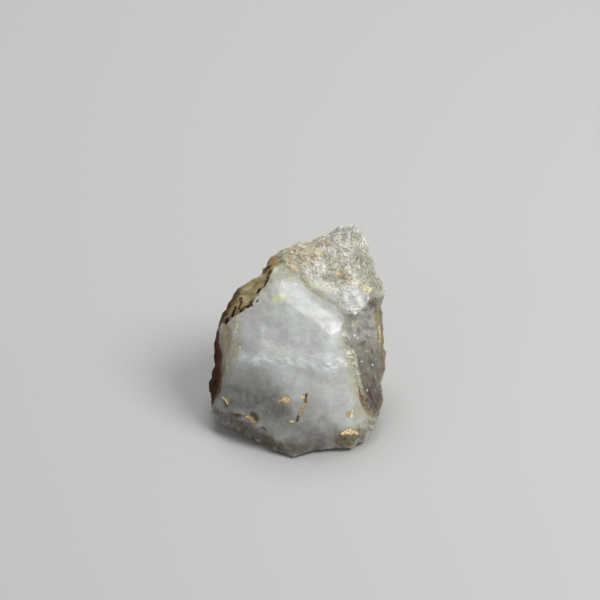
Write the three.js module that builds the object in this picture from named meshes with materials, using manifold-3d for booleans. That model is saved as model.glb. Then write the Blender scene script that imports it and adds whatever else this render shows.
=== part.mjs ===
// A small chunk of smoky quartz with prehnite, broken from a vein and standing on its flat
// broken foot. Milky quartz makes its big front faces, a grainy crust of prehnite its crown,
// smoky quartz its right flank, and an iron-stained rind wraps its left shoulder.
// The stone grew as one piece, so it is one closed solid. Millimetres, +Z up.

import * as THREE from "three";
import { ImprovedNoise } from "three/addons/math/ImprovedNoise.js";
import { mergeVertices } from "three/addons/utils/BufferGeometryUtils.js";
import Module from "manifold-3d";

// The front leans back by this angle, so that its corners are given along the lean:
// across to the right, up the lean, and out of the stone.
const FRONT_LEAN_DEG = 35;
// How high the zero of the leaning frame is above the foot.
const LEAN_ORIGIN_HEIGHT = 15.3;
// How each kind of ground looks: the longest edge of its mesh, the height of its broad waves, the
// height and width of its lumps, and the height of its broken ledges.
const GROUNDS = {
  quartz: { edge: 2.0, wave: 0.3, lump: 0.08, lumpWidth: 2.4, ledge: 0.1 },
  crust: { edge: 1.05, wave: 0.35, lump: 0.7, lumpWidth: 2.3, ledge: 0 },
  rind: { edge: 1.4, wave: 0.3, lump: 0.25, lumpWidth: 2.0, ledge: 0.45 },
  flank: { edge: 1.4, wave: 0.3, lump: 0.25, lumpWidth: 2.4, ledge: 0.5 },
  broken: { edge: 2.1, wave: 0.7, lump: 0.2, lumpWidth: 3.4, ledge: 0.9 },
  foot: { edge: 8, wave: 0, lump: 0, lumpWidth: 2, ledge: 0 },
};
const WAVE_WIDTH = 6.5;
const LEDGE_WIDTH = 3.4;
const LEDGE_RISE = 0.7;
const LEDGE_TILT = new THREE.Vector3(0.35, 0.5, 0.8);
const SEAM_REACH = 1.5;
const SEAM_EDGE = 0.95;
const LOWEST_RELIEF = 0.5;
const SLIVER_SHARE = 0.75;
const RELAX_ROUNDS = 6;
const BLEND_ROUNDS = 2;
const SOFTEN_ROUNDS = 1;
const SOFTEN_SHARE = 0.4;

// The lines where the stone's faces meet, each a run of corners [across, up, out] on the leaning
// front. The skyline runs from the left foot over the crown to the right foot.
const LEANING_LINES = {
  skyline: [
    [-17.4, -11.4, -3.6], [-18.0, -9.6, -4.5], [-17.1, -7.6, -5.0], [-16.7, -5.0, -5.5],
    [-16.8, -2.0, -6.0], [-16.3, 0.8, -6.2], [-15.7, 3.4, -6.0], [-14.7, 5.4, -5.5],
    [-13.4, 8.0, -4.8], [-12.3, 9.6, -4.0], [-11.0, 10.8, -3.4], [-8.6, 12.0, -2.6],
    [-7.1, 13.5, -2.2], [-6.5, 14.9, -2.0], [-5.6, 16.4, -1.6], [-4.0, 17.4, -1.2],
    [-2.6, 18.6, -0.8], [-0.8, 19.2, -0.8], [0.5, 20.0, -0.5], [1.4, 19.8, -0.8],
    [3.0, 19.7, -1.0], [5.0, 20.6, -1.0], [6.6, 21.5, -0.6], [8.8, 23.3, 0.2],
    [11.2, 23.6, 0.5], [12.3, 22.5, 0.0], [13.7, 20.7, -0.6], [14.2, 18.4, -1.0],
    [14.6, 16.6, -1.4], [15.8, 14.0, -1.6], [17.3, 12.2, -2.0], [17.7, 10.0, -2.4],
    [17.0, 7.6, -3.2], [16.8, 3.6, -4.0], [17.3, -0.4, -4.4], [18.0, -4.4, -4.0],
    [17.6, -7.0, -3.5], [17.2, -9.6, -3.0], [17.8, -11.1, -2.5], [17.7, -12.4, -1.5],
    [16.5, -14.3, -0.2],
  ],
  // The sharp lower edge of the front, from the left foot past the toe to the right foot.
  hem: [
    [-17.1, -14.5, -0.1], [-14.6, -16.8, 1.7], [-12.4, -18.0, 2.6], [-9.0, -19.9, 4.2],
    [-5.6, -21.1, 5.0], [-2.9, -22.6, 6.2], [-0.8, -24.1, 7.6], [1.8, -22.3, 6.2],
    [4.0, -21.4, 6.2], [7.6, -21.4, 6.0], [9.6, -22.3, 5.9], [11.1, -22.0, 5.6],
    [13.0, -21.1, 4.8], [14.4, -19.4, 3.6], [16.1, -17.2, 2.3],
  ],
  // Where the stained rind stops on the milky quartz, from the crown down to the left.
  rindEdge: [
    [-3.6, 15.8, 1.0], [-5.2, 13.6, 2.2], [-6.2, 11.0, 3.0], [-8.0, 9.0, 3.2],
    [-9.2, 7.0, 3.4], [-11.2, 5.8, 3.0], [-12.8, 4.6, 2.4], [-14.2, 3.4, 0.8],
  ],
  // The crease at the crust's foot, and the crust's lip just above it.
  valley: [
    [-1.8, 14.6, 3.2], [0.8, 12.2, 4.4], [2.2, 10.0, 5.0], [4.8, 7.6, 5.6], [8.0, 5.4, 6.2],
  ],
  lip: [
    [-2.6, 16.0, 2.8], [0.8, 13.8, 4.6], [3.2, 11.2, 5.6], [5.6, 8.8, 6.4], [9.2, 6.6, 7.6],
    [11.6, 5.0, 8.0], [12.9, 5.6, 6.8],
  ],
  // The far side of the pale ledge on the crust's right.
  ledge: [[9.2, 10.0, 5.4], [14.8, 9.8, 3.0], [14.2, 7.4, 4.6]],
  crown: [
    [2.6, 17.0, 2.4], [6.6, 18.2, 2.4], [10.6, 20.0, 2.4], [13.4, 16.0, 1.0],
    [9.6, 14.4, 4.0], [5.6, 12.6, 4.8], [15.6, 12.0, 1.4],
  ],
  // The lower edge of the bright bevel above the milky face.
  brow: [[-4.6, 9.8, 5.6], [-2.4, 8.2, 7.0], [0.8, 5.6, 8.4], [4.2, 3.6, 9.2], [6.8, 0.8, 9.6]],
  // The grainy seam between the milky face and the smoky flank.
  seam: [
    [9.6, 4.0, 7.0], [10.6, 0.4, 8.2], [11.6, -2.6, 8.0], [12.2, -6.0, 7.4],
    [13.0, -10.0, 6.2], [14.6, -13.6, 4.2], [15.8, -15.6, 2.6],
  ],
  flank: [
    [15.2, 7.0, 2.6], [15.0, 3.8, 1.6], [15.0, 0.0, 1.6], [15.4, -4.4, 1.8], [15.6, -9.0, 1.6],
  ],
  // Where the front turns to the left side.
  leftEdge: [
    [-13.2, 3.0, 2.0], [-12.8, -0.2, 3.4], [-13.0, -1.8, 3.8], [-14.0, -4.4, 3.0],
    [-15.2, -8.4, 1.8], [-16.3, -11.8, 0.6],
  ],
  leftSide: [[-15.4, 2.6, -1.4], [-15.8, -0.3, -1.0], [-15.4, -3.6, -0.4]],
  // The blunt ridge across the milky face, and points above and below it.
  ridge: [
    [-11.8, -4.8, 6.0], [-8.2, -4.4, 8.6], [-4.2, -4.0, 10.2], [1.6, -5.0, 11.0],
    [6.2, -5.6, 10.4], [10.6, -5.4, 8.4],
  ],
  upper: [[-7.0, 2.0, 6.8], [-1.4, 0.0, 9.4]],
  lower: [
    [-14.2, -11.0, 3.4], [-7.0, -9.4, 8.2], [-1.4, -12.0, 9.6], [0.6, -18.0, 8.8],
    [6.6, -12.0, 9.2], [5.6, -17.8, 8.0], [9.8, -15.6, 7.6], [11.2, -12.0, 7.4],
    [11.6, -18.4, 6.2], [13.8, -16.0, 4.6],
  ],
  bevel: [
    [-15.2, -13.2, 2.0], [-11.8, -14.8, 4.6], [-8.4, -16.0, 6.2], [-5.4, -18.0, 7.2],
    [-2.8, -20.6, 7.8],
  ],
};

// The corners behind and below, [right, back, up] from the middle of the foot.
const STANDING_LINES = {
  backTop: [[-5.5, 13.0, 19.0], [0.5, 16.0, 25.5], [9.0, 17.5, 29.0], [13.5, 15.0, 22.5]],
  backMiddle: [
    [-11.5, 11.5, 11.0], [-4.0, 17.0, 13.0], [5.5, 19.0, 17.0], [14.5, 13.0, 13.5],
  ],
  backFoot: [[-12.5, 8.0, 3.5], [-6.0, 14.5, 3.5], [3.5, 16.5, 5.0], [12.5, 11.5, 3.5]],
  // The foot's outline, round from the right.
  foot: [
    [14.0, 1.0, 0.0], [13.2, 7.5, 0.0], [9.5, 11.5, 0.0], [1.5, 14.5, 0.0], [-7.0, 12.0, 0.0],
    [-12.2, 5.0, 0.0], [-14.4, -4.0, 0.0], [-9.0, -11.6, 0.0], [-3.4, -15.6, 0.0],
    [0.2, -17.2, 0.0], [8.5, -14.8, 0.0], [13.6, -10.4, 0.0],
  ],
};

// Every face: its ground, and the runs of corners round it, as "line from-to".
const FACES = [
  ["quartz", "rindEdge 0-2", "brow 0", "valley 1-0"],
  ["quartz", "brow 0-4", "seam 0", "valley 4-1"],
  ["quartz", "rindEdge 2-6", "leftEdge 0-1", "upper 0", "brow 0"],
  ["quartz", "leftEdge 1-2", "ridge 0-1", "upper 0"],
  ["quartz", "upper 0", "ridge 1-2", "upper 1", "brow 1-0"],
  ["quartz", "upper 1", "ridge 2-4", "brow 4-1"],
  ["quartz", "brow 4", "ridge 4-5", "seam 3-0"],
  ["quartz", "leftEdge 2-4", "lower 0-1", "ridge 1-0"],
  ["quartz", "leftEdge 4-5", "bevel 0", "lower 0"],
  ["quartz", "lower 0", "bevel 0-2", "lower 1"],
  ["quartz", "lower 1", "bevel 2-3", "lower 2"],
  ["quartz", "ridge 1", "lower 1-2", "ridge 3-2"],
  ["quartz", "lower 2", "bevel 3-4", "lower 3"],
  ["quartz", "ridge 3", "lower 2-3", "lower 5-4", "ridge 4"],
  ["quartz", "ridge 4", "lower 4", "lower 7", "seam 4-3", "ridge 5"],
  ["quartz", "lower 4-7"],
  ["crust", "lower 7-6", "lower 9", "seam 5-4"],
  ["flank", "leftEdge 5", "hem 0-1", "bevel 0"],
  ["flank", "bevel 0", "hem 1-2", "bevel 1"],
  ["flank", "bevel 1", "hem 2-3", "bevel 2"],
  ["flank", "bevel 2", "hem 3-4", "bevel 3"],
  ["flank", "bevel 3", "hem 4-5", "bevel 4"],
  ["quartz", "bevel 4", "hem 5-6", "lower 3"],
  ["quartz", "lower 3", "hem 6-8", "lower 5"],
  ["quartz", "lower 5", "hem 8-10", "lower 6"],
  ["crust", "lower 6", "hem 10-11", "lower 8"],
  ["crust", "lower 8", "hem 11-13", "lower 9"],
  ["crust", "lower 6", "lower 8-9"],
  ["crust", "lower 9", "hem 13-14", "seam 6-5"],
  ["rind", "skyline 7-10", "rindEdge 4-7"],
  ["rind", "skyline 10-12", "rindEdge 2-4"],
  ["rind", "skyline 12-16", "lip 0", "rindEdge 0-2"],
  ["crust", "rindEdge 0", "valley 0", "lip 0"],
  ["quartz", "leftEdge 0-3", "leftSide 2-0", "rindEdge 7-6"],
  ["rind", "rindEdge 7", "leftSide 0-2", "leftEdge 3-5", "hem 0", "skyline 0-7"],
  ["crust", "valley 0-4", "seam 0", "lip 5-0"],
  ["crust", "skyline 16-18", "crown 0", "lip 1-0"],
  ["crust", "skyline 18-21", "crown 1-0"],
  ["crust", "crown 0-1", "crown 4-5", "lip 2-1"],
  ["crust", "skyline 21-24", "crown 2-1"],
  ["crust", "crown 1-4"],
  ["crust", "skyline 24-28", "crown 3-2"],
  ["crust", "crown 4-3", "crown 6", "ledge 1-0", "crown 5"],
  ["crust", "skyline 28-31", "crown 6", "crown 3"],
  ["crust", "crown 5", "ledge 0", "lip 4-2"],
  ["crust", "ledge 0-2", "lip 6-4"],
  ["crust", "crown 6", "skyline 31-32", "flank 0", "ledge 2-1"],
  ["flank", "seam 0-1", "flank 1-0", "ledge 2", "lip 6-5"],
  ["flank", "seam 1-2", "flank 2-1"],
  ["flank", "seam 2-3", "flank 3-2"],
  ["flank", "seam 3-4", "flank 4-3"],
  ["flank", "seam 4-6", "skyline 40-39", "flank 4"],
  ["flank", "seam 6", "hem 14", "skyline 40"],
  ["flank", "flank 0-1", "skyline 33-32"],
  ["flank", "flank 1-2", "skyline 34-33"],
  ["flank", "flank 2-3", "skyline 35-34"],
  ["flank", "flank 3-4", "skyline 37-35"],
  ["flank", "flank 4", "skyline 39-37"],
  ["broken", "skyline 12-16", "backTop 1-0"],
  ["crust", "skyline 16-21", "backTop 1"],
  ["crust", "skyline 21-24", "backTop 2-1"],
  ["crust", "skyline 24-28", "backTop 3-2"],
  ["broken", "skyline 28-32", "backMiddle 3", "backTop 3"],
  ["broken", "skyline 32-34", "backFoot 3", "backMiddle 3"],
  ["broken", "skyline 34-35", "foot 0-1", "backFoot 3"],
  ["flank", "skyline 35-40", "foot 11", "foot 0"],
  ["broken", "skyline 40", "hem 14-12", "foot 10-11"],
  ["broken", "hem 12-6", "foot 9-10"],
  ["broken", "hem 6-3", "foot 8-9"],
  ["broken", "hem 3-0", "foot 7-8"],
  ["rind", "hem 0", "skyline 0-2", "foot 6-7"],
  ["rind", "skyline 2-4", "backFoot 0", "foot 5-6"],
  ["rind", "skyline 4-8", "backMiddle 0", "backFoot 0"],
  ["rind", "skyline 8-12", "backTop 0", "backMiddle 0"],
  ["broken", "backTop 2-3", "backMiddle 3-2"],
  ["broken", "backTop 1-2", "backMiddle 2-1"],
  ["broken", "backTop 0-1", "backMiddle 1-0"],
  ["broken", "backMiddle 3", "backFoot 3-2", "backMiddle 2"],
  ["broken", "backMiddle 2", "backFoot 2-1", "backMiddle 1"],
  ["broken", "backMiddle 1", "backFoot 1-0", "backMiddle 0"],
  ["broken", "backFoot 3", "foot 1-3", "backFoot 2"],
  ["broken", "backFoot 2", "foot 3-4", "backFoot 1"],
  ["broken", "backFoot 1", "foot 4-5", "backFoot 0"],
  ["foot", "foot 0-11"],
];

// Narrow clefts between the rind's bands and cracks elsewhere: the two ends as [across, up] on the
// leaning front, then how wide each opens and how deep it goes.
const CLEFTS = [
  [[-6.2, 12.9], [-5.9, 11.2], 0.8, 1.0],
  [[-7.9, 10.2], [-7.6, 8.9], 0.7, 1.0],
  [[-9.9, 7.8], [-8.9, 6.4], 0.9, 1.1],
  [[-11.5, 6.4], [-10.9, 5.4], 0.8, 1.0],
  [[-13.2, 7.2], [-11.8, 5.2], 0.6, 0.8],
  [[-14.2, 4.3], [-13.6, 2.9], 0.8, 1.0],
  [[16.6, 1.6], [16.8, -0.8], 0.7, 0.9],
  [[9.2, -19.0], [9.6, -20.4], 0.6, 0.8],
  [[-14.8, -11.0], [-14.1, -12.4], 0.7, 0.7],
  [[-9.0, -14.5], [-11.6, -14.6], 0.6, 0.6],
];
const CLEFT_WIDEST_AT = 0.55;

// ---------------------------------------------------------------------------------------------
// Corners and faces

const lean = THREE.MathUtils.degToRad(FRONT_LEAN_DEG);
const UP_THE_LEAN = new THREE.Vector3(0, Math.sin(lean), Math.cos(lean));
const OUT_OF_THE_LEAN = new THREE.Vector3(0, -Math.cos(lean), Math.sin(lean));

function onTheLean([across, up, out]) {
  return new THREE.Vector3(across, 0, LEAN_ORIGIN_HEIGHT)
    .addScaledVector(UP_THE_LEAN, up)
    .addScaledVector(OUT_OF_THE_LEAN, out);
}

const corners = [];
const cornerIndex = new Map();

function layLines(lines, place) {
  for (const [line, points] of Object.entries(lines)) {
    points.forEach((point, order) => {
      cornerIndex.set(`${line} ${order}`, corners.length);
      corners.push(place(point));
    });
  }
}

function cornersOfRun(run) {
  const [line, span] = run.split(" ");
  const [from, to = from] = span.split("-").map(Number);
  const step = from <= to ? 1 : -1;
  const found = [];
  for (let order = from; order !== to + step; order += step) {
    found.push(cornerIndex.get(`${line} ${order}`));
  }
  return found;
}

function sidesOf(ring) {
  return ring.map((from, i) => [from, ring[(i + 1) % ring.length]]);
}

function sideKey([from, to]) {
  return from < to ? `${from} ${to}` : `${to} ${from}`;
}

// Turns every polygon the same way round as its neighbours.
function windAlike(rings) {
  const owners = new Map();
  rings.forEach((ring, face) => {
    for (const side of sidesOf(ring)) {
      owners.set(sideKey(side), [...(owners.get(sideKey(side)) ?? []), face]);
    }
  });
  const wound = new Set([0]);
  const waiting = [0];
  while (waiting.length > 0) {
    const face = waiting.pop();
    for (const side of sidesOf(rings[face])) {
      const next = owners.get(sideKey(side)).find((owner) => owner !== face);
      if (wound.has(next)) {
        continue;
      }
      const sameWay = ([from, to]) => from === side[0] && to === side[1];
      if (sidesOf(rings[next]).some(sameWay)) {
        rings[next].reverse();
      }
      wound.add(next);
      waiting.push(next);
    }
  }
}

// Twice the area of the polygon, along its normal.
function areaVector(points) {
  const sum = new THREE.Vector3();
  points.forEach((point, i) => {
    sum.add(point.clone().cross(points[(i + 1) % points.length]));
  });
  return sum;
}

// Six times the volume inside the polygons, negative when they look inwards.
function volumeInside(rings) {
  return rings.reduce((sum, ring) => {
    const points = ring.map((index) => corners[index]);
    return sum + areaVector(points).dot(points[0]);
  }, 0);
}

function flatRing(ring) {
  const points = ring.map((index) => corners[index]);
  const normal = areaVector(points).normalize();
  const helper = new THREE.Vector3(1, 0, 0);
  if (Math.abs(normal.x) > 0.9) {
    helper.set(0, 1, 0);
  }
  const across = helper.cross(normal).normalize();
  const along = normal.clone().cross(across);
  return new Map(ring.map((index, i) => {
    return [index, new THREE.Vector2(points[i].dot(across), points[i].dot(along))];
  }));
}

// Twice the area of a flat triangle, positive when it runs anticlockwise.
function turnOf(a, b, c) {
  return (b.x - a.x) * (c.y - a.y) - (b.y - a.y) * (c.x - a.x);
}

function fatness(a, b, c) {
  const longest = Math.max(a.distanceTo(b), b.distanceTo(c), c.distanceTo(a));
  return turnOf(a, b, c) / longest ** 2;
}

function isInside(point, a, b, c) {
  return turnOf(a, b, point) > 0 && turnOf(b, c, point) > 0 && turnOf(c, a, point) > 0;
}

// Cuts a polygon into triangles, its fattest corner first. No two faces share a diagonal.
function triangulate(ring, taken) {
  const flat = flatRing(ring);
  const left = [...ring];
  const triangles = [];
  while (left.length > 3) {
    let best = { worth: 1e-4 };
    left.forEach((tip, at) => {
      const before = left[(at + left.length - 1) % left.length];
      const after = left[(at + 1) % left.length];
      const ids = [before, tip, after];
      const ear = ids.map((id) => flat.get(id));
      const worth = fatness(...ear);
      const blocked = left.some((id) => !ids.includes(id) && isInside(flat.get(id), ...ear));
      if (worth > best.worth && !blocked && !taken.has(sideKey([before, after]))) {
        best = { worth, at, ids };
      }
    });
    taken.add(sideKey([best.ids[0], best.ids[2]]));
    triangles.push(best.ids);
    left.splice(best.at, 1);
  }
  triangles.push(left);
  return triangles;
}

// ---------------------------------------------------------------------------------------------
// The fine mesh over the faces. A triangle is { ids, ground, face }.

function lengthOf(points, [from, to]) {
  return points[from].distanceTo(points[to]);
}

function distanceToLine(point, line) {
  const nearest = new THREE.Vector3();
  const piece = new THREE.Line3();
  let least = Infinity;
  for (let i = 0; i + 1 < line.length; i += 1) {
    piece.set(line[i], line[i + 1]).closestPointToPoint(point, true, nearest);
    least = Math.min(least, nearest.distanceTo(point));
  }
  return least;
}

function longestEdge(points, triangle, seam) {
  const nearSeam = triangle.ids.some((id) => distanceToLine(points[id], seam) < SEAM_REACH);
  return nearSeam ? SEAM_EDGE : GROUNDS[triangle.ground].edge;
}

// Cuts a triangle at the middles of its marked sides.
function cutTriangle(points, triangle, middles) {
  const { ids } = triangle;
  const cuts = sidesOf(ids).map((side) => middles.get(sideKey(side)));
  const count = cuts.filter((cut) => cut !== undefined).length;
  const pieces = (lists) => lists.map((list) => ({ ...triangle, ids: list }));
  if (count === 0) {
    return [triangle];
  }
  if (count === 3) {
    const [ab, bc, ca] = cuts;
    return pieces([[ids[0], ab, ca], [ids[1], bc, ab], [ids[2], ca, bc], [ab, bc, ca]]);
  }
  if (count === 1) {
    const at = cuts.findIndex((cut) => cut !== undefined);
    const [a, b, c] = [ids[at], ids[(at + 1) % 3], ids[(at + 2) % 3]];
    return pieces([[a, cuts[at], c], [cuts[at], b, c]]);
  }
  const whole = cuts.findIndex((cut) => cut === undefined);
  const [a, b, c] = [ids[whole], ids[(whole + 1) % 3], ids[(whole + 2) % 3]];
  const [bc, ca] = [cuts[(whole + 1) % 3], cuts[(whole + 2) % 3]];
  if (lengthOf(points, [a, bc]) < lengthOf(points, [b, ca])) {
    return pieces([[a, b, bc], [a, bc, ca], [bc, c, ca]]);
  }
  return pieces([[a, b, ca], [b, bc, ca], [bc, c, ca]]);
}

function refine(points, triangles, seam) {
  let mesh = triangles;
  for (;;) {
    const middles = new Map();
    for (const triangle of mesh) {
      const limit = longestEdge(points, triangle, seam);
      const sides = sidesOf(triangle.ids);
      const longest = Math.max(...sides.map((side) => lengthOf(points, side)));
      for (const side of sides) {
        const length = lengthOf(points, side);
        if (length > limit && length > longest * SLIVER_SHARE && !middles.has(sideKey(side))) {
          middles.set(sideKey(side), points.length);
          points.push(points[side[0]].clone().lerp(points[side[1]], 0.5));
        }
      }
    }
    if (middles.size === 0) {
      return mesh;
    }
    mesh = mesh.flatMap((triangle) => cutTriangle(points, triangle, middles));
  }
}

function angleAt(points, apex, from, to) {
  const one = points[from].clone().sub(points[apex]);
  return one.angleTo(points[to].clone().sub(points[apex]));
}

// Swaps the shared side of two triangles of one face where the other diagonal suits them better.
function swapSides(points, mesh) {
  const owners = new Map();
  mesh.forEach((triangle, index) => {
    for (const side of sidesOf(triangle.ids)) {
      owners.set(sideKey(side), [...(owners.get(sideKey(side)) ?? []), index]);
    }
  });
  const touched = new Set();
  for (const [key, [first, second]] of owners) {
    if (touched.has(first) || touched.has(second) || mesh[first].face !== mesh[second].face) {
      continue;
    }
    const [from, to] = key.split(" ").map(Number);
    const apex = mesh[first].ids.find((id) => id !== from && id !== to);
    const other = mesh[second].ids.find((id) => id !== from && id !== to);
    const facing = angleAt(points, apex, from, to) + angleAt(points, other, from, to);
    if (facing < Math.PI + 0.01 || owners.has(sideKey([apex, other]))) {
      continue;
    }
    const at = mesh[first].ids.indexOf(apex);
    const [next, last] = [mesh[first].ids[(at + 1) % 3], mesh[first].ids[(at + 2) % 3]];
    mesh[first].ids = [apex, next, other];
    mesh[second].ids = [apex, other, last];
    touched.add(first);
    touched.add(second);
  }
  return touched.size;
}

function neighboursOf(points, mesh) {
  const neighbours = points.map(() => new Set());
  for (const { ids } of mesh) {
    for (const [from, to] of sidesOf(ids)) {
      neighbours[from].add(to);
      neighbours[to].add(from);
    }
  }
  return neighbours;
}

// Evens out the points inside each face, and leaves those on its border.
function relax(points, mesh) {
  const faceOf = new Map();
  for (const { ids, face } of mesh) {
    for (const id of ids) {
      faceOf.set(id, faceOf.has(id) && faceOf.get(id) !== face ? -1 : face);
    }
  }
  const neighbours = neighboursOf(points, mesh);
  const moved = points.map((point, id) => {
    if (faceOf.get(id) === -1) {
      return point;
    }
    const sum = new THREE.Vector3();
    for (const neighbour of neighbours[id]) {
      sum.add(points[neighbour]);
    }
    return point.clone().lerp(sum.divideScalar(neighbours[id].size), 0.5);
  });
  moved.forEach((point, id) => points[id].copy(point));
}

function soften(points, mesh, fixed) {
  const neighbours = neighboursOf(points, mesh);
  const moved = points.map((point, id) => {
    if (fixed.has(id)) {
      return point;
    }
    const sum = new THREE.Vector3();
    for (const neighbour of neighbours[id]) {
      sum.add(points[neighbour]);
    }
    return point.clone().lerp(sum.divideScalar(neighbours[id].size), SOFTEN_SHARE);
  });
  moved.forEach((point, id) => points[id].copy(point));
}

// ---------------------------------------------------------------------------------------------
// The relief of each ground

const perlin = new ImprovedNoise();

function noiseAt(point, width, shift = 0) {
  return perlin.noise(
    point.x / width + shift,
    point.y / width + shift * 0.7,
    point.z / width - shift,
  );
}

// Round lumps that meet in creases: 1 on top of a lump, 0 in the creases.
function lumpAt(point, width) {
  const base = [point.x, point.y, point.z].map((value) => Math.floor(value / width));
  const seed = new THREE.Vector3();
  let nearest = Infinity;
  for (let i = -1; i <= 1; i += 1) {
    for (let j = -1; j <= 1; j += 1) {
      for (let k = -1; k <= 1; k += 1) {
        const cell = [base[0] + i, base[1] + j, base[2] + k];
        const stray = [0.31, 0.57, 0.83].map(
          (shift) => perlin.noise(cell[0] * 0.73 + shift, cell[1] * 0.61, cell[2] * 0.87 + shift),
        );
        seed.set(...cell.map((value, axis) => (value + 0.5 + stray[axis] * 0.9) * width));
        nearest = Math.min(nearest, seed.distanceTo(point));
      }
    }
  }
  return Math.max(0, 1 - (nearest / width) ** 2);
}

// Broken steps: a slow rise and a short drop, over and over.
function ledgeAt(point) {
  const level = point.dot(LEDGE_TILT) / LEDGE_WIDTH + noiseAt(point, 5, 3.1) * 1.6;
  const part = level - Math.floor(level);
  return part < LEDGE_RISE ? part / LEDGE_RISE - 0.5 : (1 - part) / (1 - LEDGE_RISE) - 0.5;
}

function reliefAt(point, ground) {
  const { wave, lump, lumpWidth, ledge } = GROUNDS[ground];
  return (
    noiseAt(point, WAVE_WIDTH) * wave * 1.6 +
    (lumpAt(point, lumpWidth) - 0.6) * lump +
    ledgeAt(point) * ledge
  );
}

// How much of each ground lies round every point, each row adding up to 1.
function groundShares(points, mesh, seam) {
  const names = Object.keys(GROUNDS);
  let shares = points.map(() => names.map(() => 0));
  for (const { ids, ground } of mesh) {
    for (const id of ids) {
      shares[id][names.indexOf(ground)] += 1;
    }
  }
  shares.forEach((row, id) => {
    if (distanceToLine(points[id], seam) < SEAM_REACH * 0.8) {
      row.fill(0);
      row[names.indexOf("crust")] = 1;
    }
  });
  const neighbours = neighboursOf(points, mesh);
  for (let round = 0; round < BLEND_ROUNDS; round += 1) {
    shares = shares.map((row, id) => {
      const blended = [...row];
      for (const neighbour of neighbours[id]) {
        shares[neighbour].forEach((value, at) => {
          blended[at] += value;
        });
      }
      const total = blended.reduce((sum, value) => sum + value, 0);
      return blended.map((value) => value / total);
    });
  }
  return shares;
}

function raiseRelief(points, mesh, seam, fixed) {
  const normals = points.map(() => new THREE.Vector3());
  for (const { ids } of mesh) {
    const area = areaVector(ids.map((id) => points[id]));
    ids.forEach((id) => normals[id].add(area));
  }
  const shares = groundShares(points, mesh, seam);
  const names = Object.keys(GROUNDS);
  points.forEach((point, id) => {
    if (fixed.has(id)) {
      return;
    }
    const height = names.reduce((sum, name, at) => {
      return shares[id][at] > 0 ? sum + shares[id][at] * reliefAt(point, name) : sum;
    }, 0);
    point.addScaledVector(normals[id].normalize(), height);
    point.z = Math.max(point.z, LOWEST_RELIEF);
  });
}

// ---------------------------------------------------------------------------------------------
// The clefts

// A narrow double wedge from one end to the other, as deep into the stone as it stands out.
function cleftGeometry(start, end, into, width, depth) {
  const run = end.clone().sub(start);
  const sideways = run.clone().cross(into).setLength(width / 2);
  const middle = start.clone().addScaledVector(run, CLEFT_WIDEST_AT);
  const tips = [
    start,
    middle.clone().add(sideways),
    end,
    middle.clone().sub(sideways),
    middle.clone().addScaledVector(into, -depth),
    middle.clone().addScaledVector(into, depth),
  ];
  const geometry = new THREE.BufferGeometry();
  geometry.setAttribute(
    "position",
    new THREE.Float32BufferAttribute(tips.flatMap((tip) => tip.toArray()), 3),
  );
  const upper = [[1, 0, 4], [2, 1, 4], [3, 2, 4], [0, 3, 4]];
  const lower = [[0, 1, 5], [1, 2, 5], [2, 3, 5], [3, 0, 5]];
  geometry.setIndex([...upper, ...lower].flat());
  return geometry;
}

function surfacePoint(stone, [across, up]) {
  const from = onTheLean([across, up, 60]);
  const caster = new THREE.Raycaster(from, OUT_OF_THE_LEAN.clone().negate());
  return caster.intersectObject(stone)[0];
}

// ---------------------------------------------------------------------------------------------
// Solids

const wasm = await Module();
wasm.setup();

function toManifold(geometry) {
  const bare = geometry.clone();
  bare.deleteAttribute("normal");
  bare.deleteAttribute("uv");
  const welded = mergeVertices(bare, 1e-4);
  return new wasm.Manifold(
    new wasm.Mesh({
      numProp: 3,
      vertProperties: new Float32Array(welded.attributes.position.array),
      triVerts: new Uint32Array(welded.index.array),
    }),
  );
}

function toGeometry(solid) {
  const mesh = solid.getMesh();
  const geometry = new THREE.BufferGeometry();
  geometry.setAttribute("position", new THREE.BufferAttribute(mesh.vertProperties, 3));
  geometry.setIndex(new THREE.BufferAttribute(mesh.triVerts, 1));
  geometry.computeVertexNormals();
  return geometry;
}

function geometryOf(points, mesh) {
  const geometry = new THREE.BufferGeometry();
  const flat = points.flatMap((point) => point.toArray());
  geometry.setAttribute("position", new THREE.Float32BufferAttribute(flat, 3));
  geometry.setIndex(mesh.flatMap(({ ids }) => ids));
  return geometry;
}

// ---------------------------------------------------------------------------------------------
// The stone

function stoneGeometry() {
  layLines(LEANING_LINES, onTheLean);
  layLines(STANDING_LINES, (point) => new THREE.Vector3(...point));
  const grounds = FACES.map(([ground]) => ground);
  const rings = FACES.map(([, ...runs]) => runs.flatMap(cornersOfRun));
  windAlike(rings);
  if (volumeInside(rings) < 0) {
    rings.forEach((ring) => ring.reverse());
  }

  const seam = cornersOfRun("seam 0-6").map((index) => corners[index].clone());
  const points = corners.map((corner) => corner.clone());
  const taken = new Set(rings.flatMap(sidesOf).map(sideKey));
  const coarse = rings.flatMap((ring, face) =>
    triangulate(ring, taken).map((ids) => ({ ids, ground: grounds[face], face })),
  );
  const mesh = refine(points, coarse, seam);
  for (let round = 0; round < RELAX_ROUNDS; round += 1) {
    swapSides(points, mesh);
    relax(points, mesh);
  }
  const onFoot = mesh.filter(({ ground }) => ground === "foot").flatMap(({ ids }) => ids);
  const fixed = new Set(onFoot);
  for (let round = 0; round < SOFTEN_ROUNDS; round += 1) {
    soften(points, mesh, fixed);
  }
  raiseRelief(points, mesh, seam, fixed);
  return geometryOf(points, mesh);
}

function cutClefts(geometry) {
  const stone = new THREE.Mesh(geometry, new THREE.MeshBasicMaterial());
  let solid = toManifold(geometry);
  for (const [start, end, width, depth] of CLEFTS) {
    const ends = [surfacePoint(stone, start), surfacePoint(stone, end)];
    const into = ends[0].face.normal.clone().add(ends[1].face.normal).normalize().negate();
    const cleft = cleftGeometry(ends[0].point, ends[1].point, into, width, depth);
    solid = solid.subtract(toManifold(cleft));
  }
  return toGeometry(solid);
}

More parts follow.
